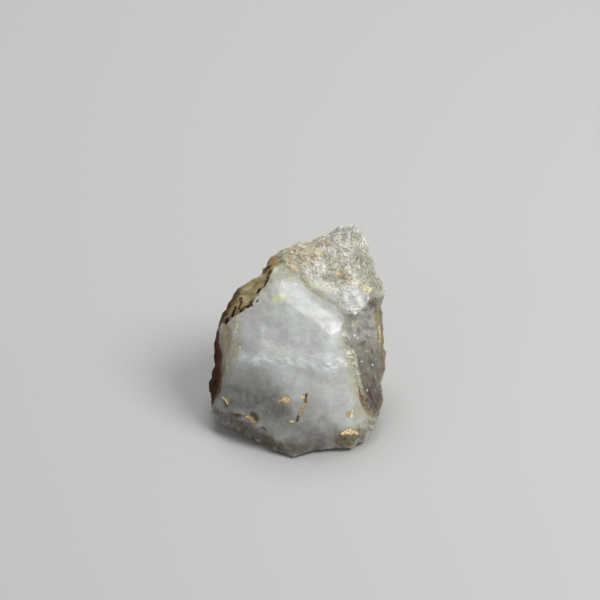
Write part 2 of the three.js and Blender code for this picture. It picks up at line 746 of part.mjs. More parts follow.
const material = new THREE.MeshStandardMaterial({
  color: 0xbfc3bd,
  roughness: 0.35,
  metalness: 0,
  flatShading: true,
});
const geometry = cutClefts(stoneGeometry());
geometry.computeBoundingBox();
const middle = geometry.boundingBox.getCenter(new THREE.Vector3());
geometry.translate(-middle.x, -middle.y, 0);

const stone = new THREE.Mesh(geometry, material);
stone.name = "quartz_with_prehnite";

const group = new THREE.Group();
group.name = "smoky_quartz_with_prehnite";
group.add(stone);

export default group;
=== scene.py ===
"""A small chunk of smoky quartz with prehnite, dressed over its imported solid.

The stone is one piece: milky quartz in front, a sugary prehnite crown, a smoky right flank, an
iron-stained rind on the left shoulder and a broken back. The crust's loose grains are a second
piece. The stone's places and sizes and the camera's are in millimetres, and the floor's and the
lights' in metres.
"""

import math

import bmesh
import bpy
import numpy as np
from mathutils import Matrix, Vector, noise


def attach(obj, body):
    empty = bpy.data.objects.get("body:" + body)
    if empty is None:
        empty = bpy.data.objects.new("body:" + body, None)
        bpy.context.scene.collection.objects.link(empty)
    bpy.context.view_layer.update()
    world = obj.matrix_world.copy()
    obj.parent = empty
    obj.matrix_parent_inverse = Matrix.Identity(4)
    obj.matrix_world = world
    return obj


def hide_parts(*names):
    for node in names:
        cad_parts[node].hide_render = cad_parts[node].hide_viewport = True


MM = 0.001

# ---------------------------------------------------------------------------------------------
# The stone's measures, in millimetres

FRONT_LEAN = math.radians(35)
LEAN_ORIGIN_HEIGHT = 15.3
STONE_MIDDLE = (0.17, -0.04)
UP_THE_LEAN = (0.0, math.sin(FRONT_LEAN), math.cos(FRONT_LEAN))
OUT_OF_THE_LEAN = (0.0, -math.cos(FRONT_LEAN), math.sin(FRONT_LEAN))

WELD_REACH = 0.01
MESH_STEP = 0.25
FOOT_FADE = 0.8

# How strongly one round of evening out draws a point to its neighbours, and the rounds that the
# normals, the valley, the ridge, the chipped stone and the flank take.
EVENING_STEP = 0.8
NORMAL_ROUNDS = 40
VALLEY_ROUNDS = 90
RIDGE_ROUNDS = 25
CHIPPED_ROUNDS = 1
FLANK_ROUNDS = 4
# How far from their lines the valley and the ridge are evened out: nothing, and fully.
VALLEY_EVENING = (2.2, 0.9)
RIDGE_EVENING = (1.8, 0.5)

# How marks and patches lie on the stone: how much less depth counts than distance along the
# front, how they wander as (width, reach), and how fast a patch fades.
MARK_REACH_INWARD = 2.6
MARK_WANDER = ((1.1, 0.22), (0.45, 0.12))
PATCH_WANDER = ((2.2, 0.7),)
PATCH_FADE = 1.2
# How strongly creases and edges count in the hollowness, and the rounds that blur it.
HOLLOW_GAIN = 2.2
HOLLOW_ROUNDS = 3

# The loose grains of the crust and the seam.
GRAIN_SIZE = 0.44
GRAINS_PER_SQUARE_MM = 11.0
GRAIN_SEED = 11
BALL_RADIUS = 0.5
BLOCK_SIDES = (0.9, 0.75, 0.42)

# How wide the patterns in the relief are.
GRAIN_WIDTH = 0.9
FINE_GRAIN_WIDTH = 0.55
BROAD_CHIP_WIDTH = 4.6
CHIP_WIDTH = 1.9
SMALL_CHIP_WIDTH = 0.9
LAYER_WIDTH = 1.5
SWELL_WIDTH = 2.4
ROUGH_WIDTH = 0.7
BAND_ANGLE_PER_MM = 4.2

# A chip's shape: how hollow it is, how much it tilts, and its middle height, in widths. The
# scatter keeps one chip's tilt unlike the next one's.
CHIP_HOLLOW = 0.5
CHIP_TILT = 0.45
CHIP_MIDDLE = 0.15
CHIP_SCATTER = 9.7

# How high each pattern stands on each ground.
RELIEF = {
    "crust": {"swell": 0.12},
    "grainy crust": {"granular": 1.0},
    "crown": {"chips": 0.35},
    "rind": {"bands": 0.04, "swell": 0.14, "rough": 0.09, "granular": 0.25},
    "flank": {"layers": 0.5, "swell": 0.14},
    "quartz": {"swell": 0.1, "rough": 0.018},
    "bevel": {"small chips": 0.3, "swell": 0.2, "rough": 0.08},
    "corner": {"small chips": 0.3, "granular": 0.5, "rough": 0.08},
    "broken": {"broad chips": 3.0, "chips": 1.1, "small chips": 0.35},
    "by ridge": {"small chips": 0.4, "rough": 0.08},
}
VALLEY_GROOVE_WIDTH = 0.9
VALLEY_GROOVE_DEPTH = 0.05
VALLEY_GROOVE_ROUGHNESS = 0.12
CRACK_WIDTH = 0.34
CRACK_DEPTH = 0.22

# Outlines of the stone's grounds on the leaning front, as (across, up).
CRUST_OUTLINE = [
    (-5.0, 17.2), (-3.6, 15.8), (-2.0, 15.6), (0.6, 14.4), (1.6, 12.7), (3.8, 11.5), (6.2, 11.0),
    (8.4, 8.6), (8.6, 6.6), (11.2, 4.9), (13.2, 5.4), (14.0, 7.6), (15.6, 8.8), (22.0, 9.4),
    (22.0, 27.0), (-7.0, 27.0),
]
RIND_OUTLINE = [
    (-3.2, 16.0), (-4.9, 14.3), (-5.9, 12.0), (-7.5, 9.9), (-8.1, 8.4), (-9.4, 7.0),
    (-11.2, 5.7), (-12.7, 4.6), (-14.1, 3.3), (-15.0, 3.4), (-15.6, 2.2), (-15.55, -0.2),
    (-15.1, -3.0), (-15.05, -5.0), (-14.9, -7.2), (-15.4, -9.6), (-16.3, -11.8), (-16.8, -12.8),
    (-24.0, -12.8), (-24.0, 24.0), (-4.0, 24.0),
]
FLANK_OUTLINE = [
    (9.0, 5.2), (9.2, 2.0), (9.7, 0.0), (10.7, -2.0), (11.4, -4.0), (12.0, -6.0), (12.8, -9.4),
    (13.1, -11.4), (13.6, -13.0), (15.4, -15.0), (24.0, -15.0), (24.0, 9.4), (15.6, 8.8),
    (14.0, 7.6), (13.2, 5.4), (11.2, 4.9),
]
LEDGE_OUTLINE = [
    (8.6, 7.2), (9.1, 8.6), (9.0, 10.4), (10.6, 11.0), (12.8, 10.6), (14.8, 9.4), (13.8, 8.0),
    (13.2, 6.0), (12.4, 5.9), (10.5, 5.9), (9.2, 6.6),
]
LEFT_FACET_OUTLINE = [
    (-14.1, 3.6), (-13.3, 3.0), (-12.9, -0.6), (-13.3, -2.0), (-13.8, -3.4), (-14.1, -5.0),
    (-14.7, -6.6), (-15.2, -8.6), (-15.4, -7.0), (-15.4, -3.2), (-15.9, -0.2), (-15.8, 2.2),
    (-15.0, 3.6),
]
TOE_BEVEL_OUTLINE = [
    (-17.0, -13.2), (-15.2, -13.6), (-11.8, -15.6), (-8.4, -17.0), (-5.4, -19.0), (-2.8, -21.6),
    (-0.8, -26.0), (-20.0, -26.0),
]
SEAM_LINE = [
    (8.9, 4.2), (9.2, 1.6), (9.7, -0.2), (10.6, -2.2), (11.2, -4.0), (11.6, -6.0), (12.2, -8.4),
    (12.7, -10.6), (13.2, -12.6), (14.6, -14.2),
]
VALLEY_LINE = [(0.8, 12.6), (2.0, 10.9), (3.4, 9.7), (5.4, 8.8), (7.1, 7.4), (8.4, 6.4), (9.2, 5.2)]
RIDGE_LINE = [(-12.2, -4.6), (-8.0, -3.7), (-4.0, -4.0), (0.0, -4.3), (3.6, -5.0), (7.4, -5.9)]
CORNER_LINE = [(9.0, -19.6), (13.0, -18.4), (15.2, -16.6), (15.6, -14.8)]
RIND_CRACKS = [
    [(-4.9, 14.4), (-5.7, 12.9)], [(-5.9, 12.3), (-6.5, 10.9)], [(-7.8, 9.8), (-8.0, 9.2)],
    [(-9.2, 7.6), (-9.9, 6.6)], [(-11.0, 5.9), (-11.4, 5.6)], [(-11.3, 7.8), (-11.7, 6.3)],
    [(-12.3, 6.6), (-12.9, 4.8)], [(-13.8, 3.9), (-14.0, 3.7)],
]

# The grounds that reach round the stone: outline, how far back, and how far the back border and
# the outline stray.
WRAPPED_GROUNDS = {
    "crust": (CRUST_OUTLINE, 6.0, 2.0, 0.35),
    "rind": (RIND_OUTLINE, 12.0, 3.0, 0.25),
    "flank": (FLANK_OUTLINE, 7.0, 2.0, 0.3),
}
# The grounds on the front alone: outline, and how far it strays.
FRONT_GROUNDS = {
    "ledge": (LEDGE_OUTLINE, 0.5),
    "left_facet": (LEFT_FACET_OUTLINE, 0.2),
    "toe_bevel": (TOE_BEVEL_OUTLINE, 0.5),
}
# The lines on the front, and how far the distance to each strays.
FRONT_LINES = {
    "valley": (VALLEY_LINE, 0.3),
    "ridge": (RIDGE_LINE, 0.0),
    "corner": (CORNER_LINE, 0.4),
}
# How the borders wander, as (width, reach), broad and fine.
BORDER_WANDER = ((3.0, 0.9), (0.9, 0.35))
# The seam is shut at its top. It widens from one height to another, in half widths.
SEAM_SHUT = -0.2
SEAM_WIDENING = 0.7
SEAM_WIDENS = (2.5, -4.0)
SEAM_STRAY = 0.5
NO_SEAM = -3.0
# The front ends where the stone goes this far back, or turns this far away.
FRONT_BACK = (-12.0, -8.0)
FRONT_TURN = (-0.35, 0.0)

# ---------------------------------------------------------------------------------------------
# Numbers over the mesh


def smooth_step(low, high, value):
    part = np.clip((value - low) / (high - low), 0.0, 1.0)
    return part * part * (3.0 - 2.0 * part)


def line_distance(places, line, closed=False):
    """How far each place is from a line through the given points, in 2 or 3 dimensions."""
    ends = line[1:] + ([line[0]] if closed else [])
    least = np.full(len(places), np.inf)
    for start, end in zip(np.array(line, dtype=float), np.array(ends, dtype=float)):
        run = end - start
        along = np.clip((places - start) @ run / (run @ run + 1e-9), 0.0, 1.0)
        least = np.minimum(least, np.linalg.norm(places - start - along[:, None] * run, axis=1))
    return least


def on_surface(places, line):
    """The line's (across, up) points, each with how far out the stone's front is there."""
    laid = []
    for across, up in line:
        gap = np.hypot(places[:, 0] - across, places[:, 1] - up)
        out = places[gap < max(0.3, gap.min() + 0.1), 2].max()
        laid.append((across, up, out))
    return laid


def depth_inside(places, outline):
    """How far inside the outline each (across, up) place is, negative outside."""
    across, up = places.T
    inside = np.zeros(len(places), dtype=bool)
    for (ax, ay), (bx, by) in zip(outline, outline[1:] + [outline[0]]):
        if ay != by:
            crosses = (ay > up) != (by > up)
            meets = ax + (up - ay) * (bx - ax) / (by - ay)
            inside ^= crosses & (across < meets)
    gap = line_distance(places, outline, closed=True)
    return np.where(inside, gap, -gap)


def noise_over(points, width, shift=0.0):
    """Soft noise at every point. A shift of its own keeps a pattern unlike the others."""
    offset = Vector((shift, shift * 1.7, -shift))
    return np.array([noise.noise(Vector(p) / width + offset) for p in points])


def hearts_over(points, width, shift=0.0):
    """Distance to the nearest grain's heart, in widths."""
    offset = Vector((shift, -shift, shift * 0.6))
    return np.array([noise.voronoi(Vector(p) / width + offset)[0][0] for p in points])


def shells_over(points, width, share, shift=0.0):
    """Hollow, tilted chips that meet in sharp edges, in widths, where share is above nothing."""
    offset = Vector((shift, shift * 0.4, -shift))
    heights = np.zeros(len(points))
    for index in np.flatnonzero(share > 0.01):
        place = Vector(points[index]) / width + offset
        gaps, hearts = noise.voronoi(place)
        lowest = math.inf
        for gap, heart in zip(gaps, hearts):
            lean = noise.cell_vector(heart * CHIP_SCATTER)
            tilt = lean.dot(place - heart) - 0.5 * sum(place - heart)
            lowest = min(lowest, CHIP_HOLLOW * gap * gap + CHIP_TILT * tilt)
        heights[index] = lowest - CHIP_MIDDLE
    return heights


def stray_places(points, layers, shift):
    """A small wandering step for every point. layers holds (width, reach) pairs."""
    step = np.zeros((len(points), 3))
    for width, reach in layers:
        for axis in range(3):
            step[:, axis] += noise_over(points, width, shift + axis * 3.0 + width) * reach
    return step


def mesh_vectors(mesh, name):
    flat = np.empty(len(mesh.vertices) * 3)
    mesh.vertices.foreach_get(name, flat)
    return flat.reshape(-1, 3)


def mesh_points(mesh):
    return mesh_vectors(mesh, "co") / MM


def set_points(mesh, points):
    mesh.vertices.foreach_set("co", (points * MM).ravel())
    mesh.update()


def keep_number(mesh, name, values):
    layer = mesh.attributes.new(name, "FLOAT", "POINT")
    layer.data.foreach_set("value", values.astype(np.float32))


def joined_ends(mesh):
    ends = np.empty(len(mesh.edges) * 2, dtype=np.int64)
    mesh.edges.foreach_get("vertices", ends)
    return ends.reshape(-1, 2).T


def lean_places(points):
    """Across, up and out of every point on the leaning front."""
    across = points[:, 0] + STONE_MIDDLE[0]
    back = points[:, 1] + STONE_MIDDLE[1]
    height = points[:, 2] - LEAN_ORIGIN_HEIGHT
    up = back * UP_THE_LEAN[1] + height * UP_THE_LEAN[2]
    out = back * OUT_OF_THE_LEAN[1] + height * OUT_OF_THE_LEAN[2]
    return across, up, out


# ---------------------------------------------------------------------------------------------
# The stone's fine surface


def drop_crumbs(mesh):
    """Keeps the stone's one skin and drops the tiny closed bits that meshing leaves by it."""
    shape = bmesh.new()
    shape.from_mesh(mesh)
    left = set(shape.verts)
    skins = []
    while left:
        skin = [left.pop()]
        for vert in skin:
            for edge in vert.link_edges:
                other = edge.other_vert(vert)
                if other in left:
                    left.remove(other)
                    skin.append(other)
        skins.append(skin)
    skins.sort(key=len)
    crumbs = [vert for skin in skins[:-1] for vert in skin]
    bmesh.ops.delete(shape, geom=crumbs, context="VERTS")
    shape.to_mesh(mesh)
    shape.free()


def fine_copy(node):
    """A plain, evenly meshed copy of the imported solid, in its place."""
    mesh = node.data.copy()
    stone = bpy.data.objects.new("stone", mesh)
    bpy.context.scene.collection.objects.link(stone)
    weld = stone.modifiers.new("weld", "WELD")
    weld.merge_threshold = WELD_REACH * MM
    even = stone.modifiers.new("even", "REMESH")
    even.mode = "VOXEL"
    even.voxel_size = MESH_STEP * MM
    even.use_smooth_shade = True
    depsgraph = bpy.context.evaluated_depsgraph_get()
    fine = bpy.data.meshes.new_from_object(stone.evaluated_get(depsgraph))
    stone.modifiers.clear()
    drop_crumbs(fine)
    stone.data = fine
    return stone


def ground_depths(points, normals):
    """How deep each point lies in each ground, negative outside it, or how far from its line."""
    across, up, out = lean_places(points)
    flat = np.column_stack((across, up))
    facing = normals @ np.array(OUT_OF_THE_LEAN)
    (broad, broad_reach), (fine, fine_reach) = BORDER_WANDER
    stray = noise_over(points, broad, 4.0) * broad_reach + noise_over(points, fine, 7.0) * fine_reach
    depths = {}
    for name, (outline, reach_back, back_stray, outline_stray) in WRAPPED_GROUNDS.items():
        depth = np.minimum(depth_inside(flat, outline), out + reach_back + stray * back_stray)
        depths[name] = depth + stray * outline_stray
    half_width = SEAM_SHUT + SEAM_WIDENING * smooth_step(*SEAM_WIDENS, up)
    seam = np.where(facing > 0.0, half_width - line_distance(flat, SEAM_LINE), NO_SEAM)
    depths["seam"] = seam + stray * SEAM_STRAY
    for name, (outline, outline_stray) in FRONT_GROUNDS.items():
        depths[name] = depth_inside(flat, outline) + stray * outline_stray
    for name, (line, line_stray) in FRONT_LINES.items():
        depths[name] = line_distance(flat, line) + stray * line_stray
    depths["front"] = smooth_step(*FRONT_BACK, out) * smooth_step(*FRONT_TURN, facing)
    return depths


def ground_shares(depths):
    """How far each point belongs to each ground of the relief, 0 to 1."""
    crust = smooth_step(-0.6, 0.4, np.maximum(depths["crust"], depths["seam"]))
    rind = smooth_step(-0.2, 0.5, depths["rind"]) * (1.0 - crust)
    flank = smooth_step(-0.2, 0.6, depths["flank"]) * (1.0 - crust) * (1.0 - rind)
    rest = (1.0 - crust) * (1.0 - rind) * (1.0 - flank)
    quartz = rest * depths["front"]
    ledge = crust * smooth_step(0.0, 0.6, depths["ledge"])
    return {
        "crust": crust,
        "grainy crust": crust - 0.95 * ledge,
        "crown": smooth_step(-0.2, 0.8, depths["crust"]) - 0.9 * ledge,
        "rind": rind,
        "flank": flank,
        "quartz": quartz,
        "bevel": quartz * smooth_step(-0.3, 0.8, depths["toe_bevel"]),
        "corner": quartz * smooth_step(2.4, 0.8, depths["corner"]),
        "broken": rest * (1.0 - depths["front"]),
        "by ridge": quartz * smooth_step(1.3, 0.2, depths["ridge"]),
    }


def relief_patterns(points, shares):
    """Each pattern's height over the stone, of about 1. Chips are worked out only where used."""
    across, up, out = lean_places(points)
    leaned = np.column_stack((across, up, out * 0.4))
    grains = hearts_over(points, GRAIN_WIDTH)
    fine_grains = hearts_over(points, FINE_GRAIN_WIDTH, 5.0)
    swell = noise_over(points, SWELL_WIDTH, 2.0)
    fine_chipped = shares["broken"] + shares["bevel"] + shares["corner"] + shares["by ridge"]
    return {
        "granular": (0.42 - grains) * 0.2 + (0.4 - fine_grains) * 0.1,
        "broad chips": shells_over(points, BROAD_CHIP_WIDTH, shares["broken"], 9.0),
        "chips": shells_over(points, CHIP_WIDTH, shares["broken"] + shares["crown"], 13.0),
        "layers": shells_over(leaned, LAYER_WIDTH, shares["flank"], 15.0),
        "small chips": shells_over(points, SMALL_CHIP_WIDTH, fine_chipped, 17.0),
        "swell": swell,
        "rough": noise_over(points, ROUGH_WIDTH, 3.0),
        "bands": np.sin((across * 0.75 - up * 0.66 + swell * 0.9) * BAND_ANGLE_PER_MM),
    }


def relief_height(points, places, depths, shares):
    """How far each point is raised, with the valley's groove and the rind's cracks cut in."""
    patterns = relief_patterns(points, shares)
    height = np.zeros(len(points))
    for ground, amounts in RELIEF.items():
        for pattern, amount in amounts.items():
            height += shares[ground] * patterns[pattern] * amount
    groove = smooth_step(VALLEY_GROOVE_WIDTH, 0.1, depths["valley"]) * depths["front"]
    height -= groove * (VALLEY_GROOVE_DEPTH + VALLEY_GROOVE_ROUGHNESS * patterns["rough"])
    for line in RIND_CRACKS:
        gap = line_distance(places, on_surface(places, line))
        height -= smooth_step(CRACK_WIDTH, 0.06, gap) * CRACK_DEPTH
    return height


def evened(mesh, values, share, rounds):
    """Draws three values at every point towards its neighbours' where share is high."""
    one, two = joined_ends(mesh)
    number = np.bincount(one, minlength=len(values)) + np.bincount(two, minlength=len(values))
    found = values.copy()
    for _ in range(rounds):
        total = np.zeros_like(found)
        for axis in range(3):
            total[:, axis] = np.bincount(one, found[two, axis], len(found))
            total[:, axis] += np.bincount(two, found[one, axis], len(found))
        found += (total / number[:, None] - found) * (share * EVENING_STEP)[:, None]
    return found


def soften(mesh, share, rounds):
    """Evens the surface out where share is high."""
    set_points(mesh, evened(mesh, mesh_points(mesh), share, rounds))


def mark_depths(places, strayed, marks):
    """How deep each point lies in the nearest mark, in softnesses: -3 well outside."""
    deepest = np.full(len(places), -3.0)
    for line, half_width, softness in marks:
        gap = line_distance(strayed, on_surface(places, line))
        deepest = np.maximum(deepest, (half_width - gap) / softness)
    return np.clip(deepest, -3.0, 3.0)


def patch_strengths(places, strayed, patches):
    """How strongly cloudy patches cover each point, 0 to 1."""
    left = np.ones(len(places))
    for line, reach, strength in patches:
        gap = line_distance(strayed, on_surface(places, line))
        left *= 1.0 - strength * np.exp(-PATCH_FADE * (gap / reach) ** 2)
    return 1.0 - left


def hollowness(mesh):
    """Near 1 in creases, near 0 on edges, a half on the flat."""
    points, normals = mesh_points(mesh), mesh_vectors(mesh, "normal")
    one, two = joined_ends(mesh)
    number = len(points)
    step = points[two] - points[one]
    step /= (np.linalg.norm(step, axis=1) + 1e-9)[:, None]
    bend = np.bincount(one, np.einsum("ij,ij->i", step, normals[one]), number)
    bend -= np.bincount(two, np.einsum("ij,ij->i", step, normals[two]), number)
    neighbours = np.bincount(one, minlength=number) + np.bincount(two, minlength=number)
    bend /= np.maximum(neighbours, 1.0)
    for _ in range(HOLLOW_ROUNDS):
        bend += np.bincount(one, bend[two], number) + np.bincount(two, bend[one], number)
        bend /= neighbours + 1.0
    return np.clip(0.5 + bend * HOLLOW_GAIN, 0.0, 1.0)


def keep_grounds_and_marks(mesh, points, places, depths):
    """Writes where the grounds, marks and patches lie on the mesh, for the materials to read."""
    for name, values in depths.items():
        keep_number(mesh, name, values)
    strayed = places + stray_places(points, MARK_WANDER, 21.0)
    for name, marks in MARKS.items():
        keep_number(mesh, name, mark_depths(places, strayed, marks))
    strayed = places + stray_places(points, PATCH_WANDER, 31.0)
    for name, patches in PATCHES.items():
        keep_number(mesh, name, patch_strengths(places, strayed, patches))


def raise_surface(stone):
    """Evens out the valley and the ridge, then raises each ground's relief."""
    mesh = stone.data
    everywhere = np.ones(len(mesh.vertices))
    broad_normals = evened(mesh, mesh_vectors(mesh, "normal"), everywhere, NORMAL_ROUNDS)
    depths = ground_depths(mesh_points(mesh), broad_normals)
    by_valley = smooth_step(*VALLEY_EVENING, depths["valley"]) * depths["front"]
    soften(mesh, by_valley, VALLEY_ROUNDS)
    by_ridge = smooth_step(*RIDGE_EVENING, depths["ridge"]) * depths["front"]
    soften(mesh, by_ridge, RIDGE_ROUNDS)

    points, normals = mesh_points(mesh), mesh_vectors(mesh, "normal")
    depths = ground_depths(points, broad_normals)
    shares = ground_shares(depths)
    across, up, out = lean_places(points)
    places = np.column_stack((across, up, out / MARK_REACH_INWARD))
    above_foot = smooth_step(0.02, FOOT_FADE, points[:, 2])
    height = relief_height(points, places, depths, shares)
    moved = points + normals * (height * above_foot)[:, None]
    moved[:, 2] = np.maximum(moved[:, 2], 0.0)
    set_points(mesh, moved)
    keep_grounds_and_marks(mesh, points, places, depths)
    chipped = np.maximum(shares["flank"], shares["broken"])
    soften(mesh, 0.7 * chipped * above_foot, CHIPPED_ROUNDS)
    soften(mesh, 0.8 * shares["flank"] * above_foot, FLANK_ROUNDS)
    keep_number(mesh, "hollow", hollowness(mesh))


# ---------------------------------------------------------------------------------------------
# Building node trees


def colour(red, green, blue):
    """A screen colour, 0 to 255, as Blender's linear one."""
    def linear(part):
        part /= 255.0
        return part / 12.92 if part <= 0.04045 else ((part + 0.055) / 1.055) ** 2.4

    return (linear(red), linear(green), linear(blue), 1.0)


class Recipe:
    """Adds nodes to a tree and joins them up."""

    def __init__(self, tree):
        self.tree = tree

    def node(self, kind, **settings):
        made = self.tree.nodes.new(kind)
        for name, value in settings.items():
            setattr(made, name, value)
        return made

    def feed(self, socket, source):
        if isinstance(source, bpy.types.NodeSocket):
            self.tree.links.new(source, socket)
        elif source is not None:
            socket.default_value = source

    def fed(self, kind, sources, **settings):
        """A new node's outputs. sources holds what feeds it, by its sockets' names or numbers."""
        made = self.node(kind, **settings)
        for title, source in sources.items():
            self.feed(made.inputs[title], source)
        return made.outputs

    def math(self, operation, *sources, clamp=False):
        settings = {"operation": operation, "use_clamp": clamp}
        return self.fed("ShaderNodeMath", dict(enumerate(sources)), **settings)[0]

    def joined(self, *parts):
        return self.fed("ShaderNodeCombineXYZ", dict(enumerate(parts)))[0]

    def split(self, vector):
        return self.fed("ShaderNodeSeparateXYZ", {"Vector": vector})

    def scaled(self, vector, size):
        return self.fed("ShaderNodeVectorMath", {0: vector, "Scale": size}, operation="SCALE")[0]

    def mix(self, share, first, second, blend="MIX"):
        settings = {"data_type": "RGBA", "blend_type": blend, "clamp_result": True}
        return self.fed("ShaderNodeMix", {"Factor": share, 6: first, 7: second}, **settings)[2]

    def blend(self, share, first, second):
        sources = {"Factor": share, 2: first, 3: second}
        return self.fed("ShaderNodeMix", sources, data_type="FLOAT")[0]

    def span(self, value, low, high, start=0.0, end=1.0, smooth=True):
        sources = dict(enumerate((value, low, high, start, end)))
        settings = {"interpolation_type": "SMOOTHSTEP" if smooth else "LINEAR", "clamp": True}
        return self.fed("ShaderNodeMapRange", sources, **settings)[0]

    def lay(self, under, over, value, low, high, strength=1.0):
        """Lays a colour over another where the value runs from low to high."""
        return self.mix(self.span(value, low, high, 0.0, strength), under, over)

    def noise(self, place, scale, detail=3.0, roughness=0.55, distortion=0.0):
        sources = {
            "Vector": place,
            "Scale": scale,
            "Detail": detail,
            "Roughness": roughness,
            "Distortion": distortion,
        }
        return self.fed("ShaderNodeTexNoise", sources, noise_dimensions="3D")["Fac"]

    def cells(self, place, scale, feature="F1", output="Distance"):
        settings = {"feature": feature, "voronoi_dimensions": "3D"}
        sources = {"Vector": place, "Scale": scale}
        return self.fed("ShaderNodeTexVoronoi", sources, **settings)[output]

    def attribute(self, name):
        return self.node("ShaderNodeAttribute", attribute_name=name).outputs["Fac"]

    def group(self, title, **sources):
        """The outputs of a group that is already built, fed by its sockets' names."""
        named = {name.replace("_", " "): source for name, source in sources.items()}
        return self.fed("ShaderNodeGroup", named, node_tree=bpy.data.node_groups[title])


SOCKET_KINDS = {
    "value": "NodeSocketFloat",
    "vector": "NodeSocketVector",
    "colour": "NodeSocketColor",
    "whole number": "NodeSocketInt",
    "geometry": "NodeSocketGeometry",
    "material": "NodeSocketMaterial",
}
PLACE = ("Place", "vector", None)


def new_group(name, inputs, outputs, kind="ShaderNodeTree"):
    """A group with named sockets: inputs as (name, kind, value), outputs as (name, kind)."""
    tree = bpy.data.node_groups.new(name, kind)
    for title, socket_kind, value in inputs:
        socket = tree.interface.new_socket(
            title, in_out="INPUT", socket_type=SOCKET_KINDS[socket_kind]
        )
        if value is not None:
            socket.default_value = value
    for title, socket_kind in outputs:
        tree.interface.new_socket(
            title, in_out="OUTPUT", socket_type=SOCKET_KINDS[socket_kind]
        )
    recipe = Recipe(tree)
    entry = recipe.node("NodeGroupInput")
    leave = recipe.node("NodeGroupOutput")
    return recipe, entry.outputs, leave.inputs


# ---------------------------------------------------------------------------------------------
# Effects that several materials share


def place_group():
    """Object coordinates in millimetres, and across, up and out on the leaning front."""
    outputs = [("Place", "vector"), ("Across", "value"), ("Up", "value"), ("Out", "value")]
    recipe, _, leave = new_group("place on stone", [], outputs)
    coords = recipe.node("ShaderNodeTexCoord").outputs["Object"]
    place = recipe.scaled(coords, 1.0 / MM)
    x, y, z = recipe.split(place)
    back = recipe.math("ADD", y, STONE_MIDDLE[1])
    height = recipe.math("SUBTRACT", z, LEAN_ORIGIN_HEIGHT)
    recipe.feed(leave["Place"], place)
    recipe.feed(leave["Across"], recipe.math("ADD", x, STONE_MIDDLE[0]))
    for title, direction in (("Up", UP_THE_LEAN), ("Out", OUT_OF_THE_LEAN)):
        back_part = recipe.math("MULTIPLY", back, direction[1])
        along = recipe.math("MULTIPLY_ADD", height, direction[2], back_part)
        recipe.feed(leave[title], along)


def marks_group():
    """Lays the stone's small marks over a colour, with ragged outlines."""
    inputs = [PLACE, ("Colour", "colour", None), ("Raggedness", "value", 3.2)]
    outputs = [("Colour", "colour"), ("Mask", "value")]
    recipe, entry, leave = new_group("small marks", inputs, outputs)
    jag = recipe.math("SUBTRACT", recipe.noise(entry["Place"], 2.8, 3.0, 0.6), 0.5)
    jag = recipe.math("MULTIPLY", jag, entry["Raggedness"])
    depth = recipe.span(recipe.noise(entry["Place"], 2.4, 4.0, 0.7), 0.38, 0.58)
    painted, every = entry["Colour"], 0.0
    for name, (tint, rim_strength) in MARK_LOOKS.items():
        inside = recipe.math("ADD", recipe.attribute(name), jag)
        mask = recipe.span(inside, -1.0, 1.0)
        darker = tuple(part * MARK_SHADE for part in tint[:3]) + (1.0,)
        painted = recipe.lay(painted, UMBER, inside, -2.2, -1.0, rim_strength)
        painted = recipe.mix(mask, painted, recipe.mix(depth, darker, tint))
        every = recipe.math("MAXIMUM", every, mask)
    recipe.feed(leave["Colour"], painted)
    recipe.feed(leave["Mask"], every)


def patch_group():
    """Breaks a smooth patch up into clouds."""
    inputs = [PLACE, ("Patch", "value", 0.0), ("Width", "value", 3.0), ("Least", "value", 0.4)]
    recipe, entry, leave = new_group("cloudy patch", inputs, [("Mask", "value")])
    cloud = recipe.noise(entry["Place"], recipe.math("DIVIDE", 1.0, entry["Width"]), 4.0, 0.6)
    share = recipe.span(cloud, 0.3, 0.68, entry["Least"], 1.2)
    recipe.feed(leave["Mask"], recipe.math("MULTIPLY", entry["Patch"], share, clamp=True))


def border_group():
    """Turns a depth in millimetres into a mask whose border wanders."""
    inputs = [
        PLACE, ("Depth", "value", 0.0), ("Softness", "value", 0.25), ("Wander", "value", 0.8),
        ("Scale", "value", 1.2),
    ]
    recipe, entry, leave = new_group("wandering border", inputs, [("Mask", "value")])
    stray = recipe.math("SUBTRACT", recipe.noise(entry["Place"], entry["Scale"], 4.0, 0.6), 0.5)
    stray = recipe.math("MULTIPLY", stray, entry["Wander"])
    depth = recipe.math("MULTIPLY_ADD", stray, 2.0, entry["Depth"])
    low = recipe.math("MULTIPLY", entry["Softness"], -1.0)
    recipe.feed(leave["Mask"], recipe.span(depth, low, entry["Softness"]))


def veil_group():
    """Clouds inside quartz, around a half."""
    inputs = [PLACE, ("Width", "value", 3.0), ("Stretch", "value", 1.6)]
    recipe, entry, leave = new_group("quartz veils", inputs, [("Cloud", "value")])
    x, y, z = recipe.split(entry["Place"])
    stretched = recipe.joined(recipe.math("DIVIDE", x, entry["Stretch"]), y, z)
    scale = recipe.math("DIVIDE", 1.0, entry["Width"])
    recipe.feed(leave["Cloud"], recipe.noise(stretched, scale, 4.0, 0.52, 0.3))


def grain_group():
    """Fine sugary grain: a height, and a brightness for every grain."""
    inputs = [PLACE, ("Grain Width", "value", 0.5)]
    outputs = [("Height", "value"), ("Brightness", "value")]
    recipe, entry, leave = new_group("mineral grain", inputs, outputs)
    scale = recipe.math("DIVIDE", 1.0, entry["Grain Width"])
    dome = recipe.math("SUBTRACT", 1.0, recipe.cells(entry["Place"], scale))
    rough = recipe.noise(entry["Place"], recipe.math("MULTIPLY", scale, 2.3), 3.0, 0.6)
    split = recipe.node("ShaderNodeSeparateColor")
    recipe.feed(split.inputs[0], recipe.cells(entry["Place"], scale, output="Color"))
    recipe.feed(leave["Height"], recipe.math("MULTIPLY_ADD", rough, 0.4, dome))
    recipe.feed(leave["Brightness"], split.outputs[0])


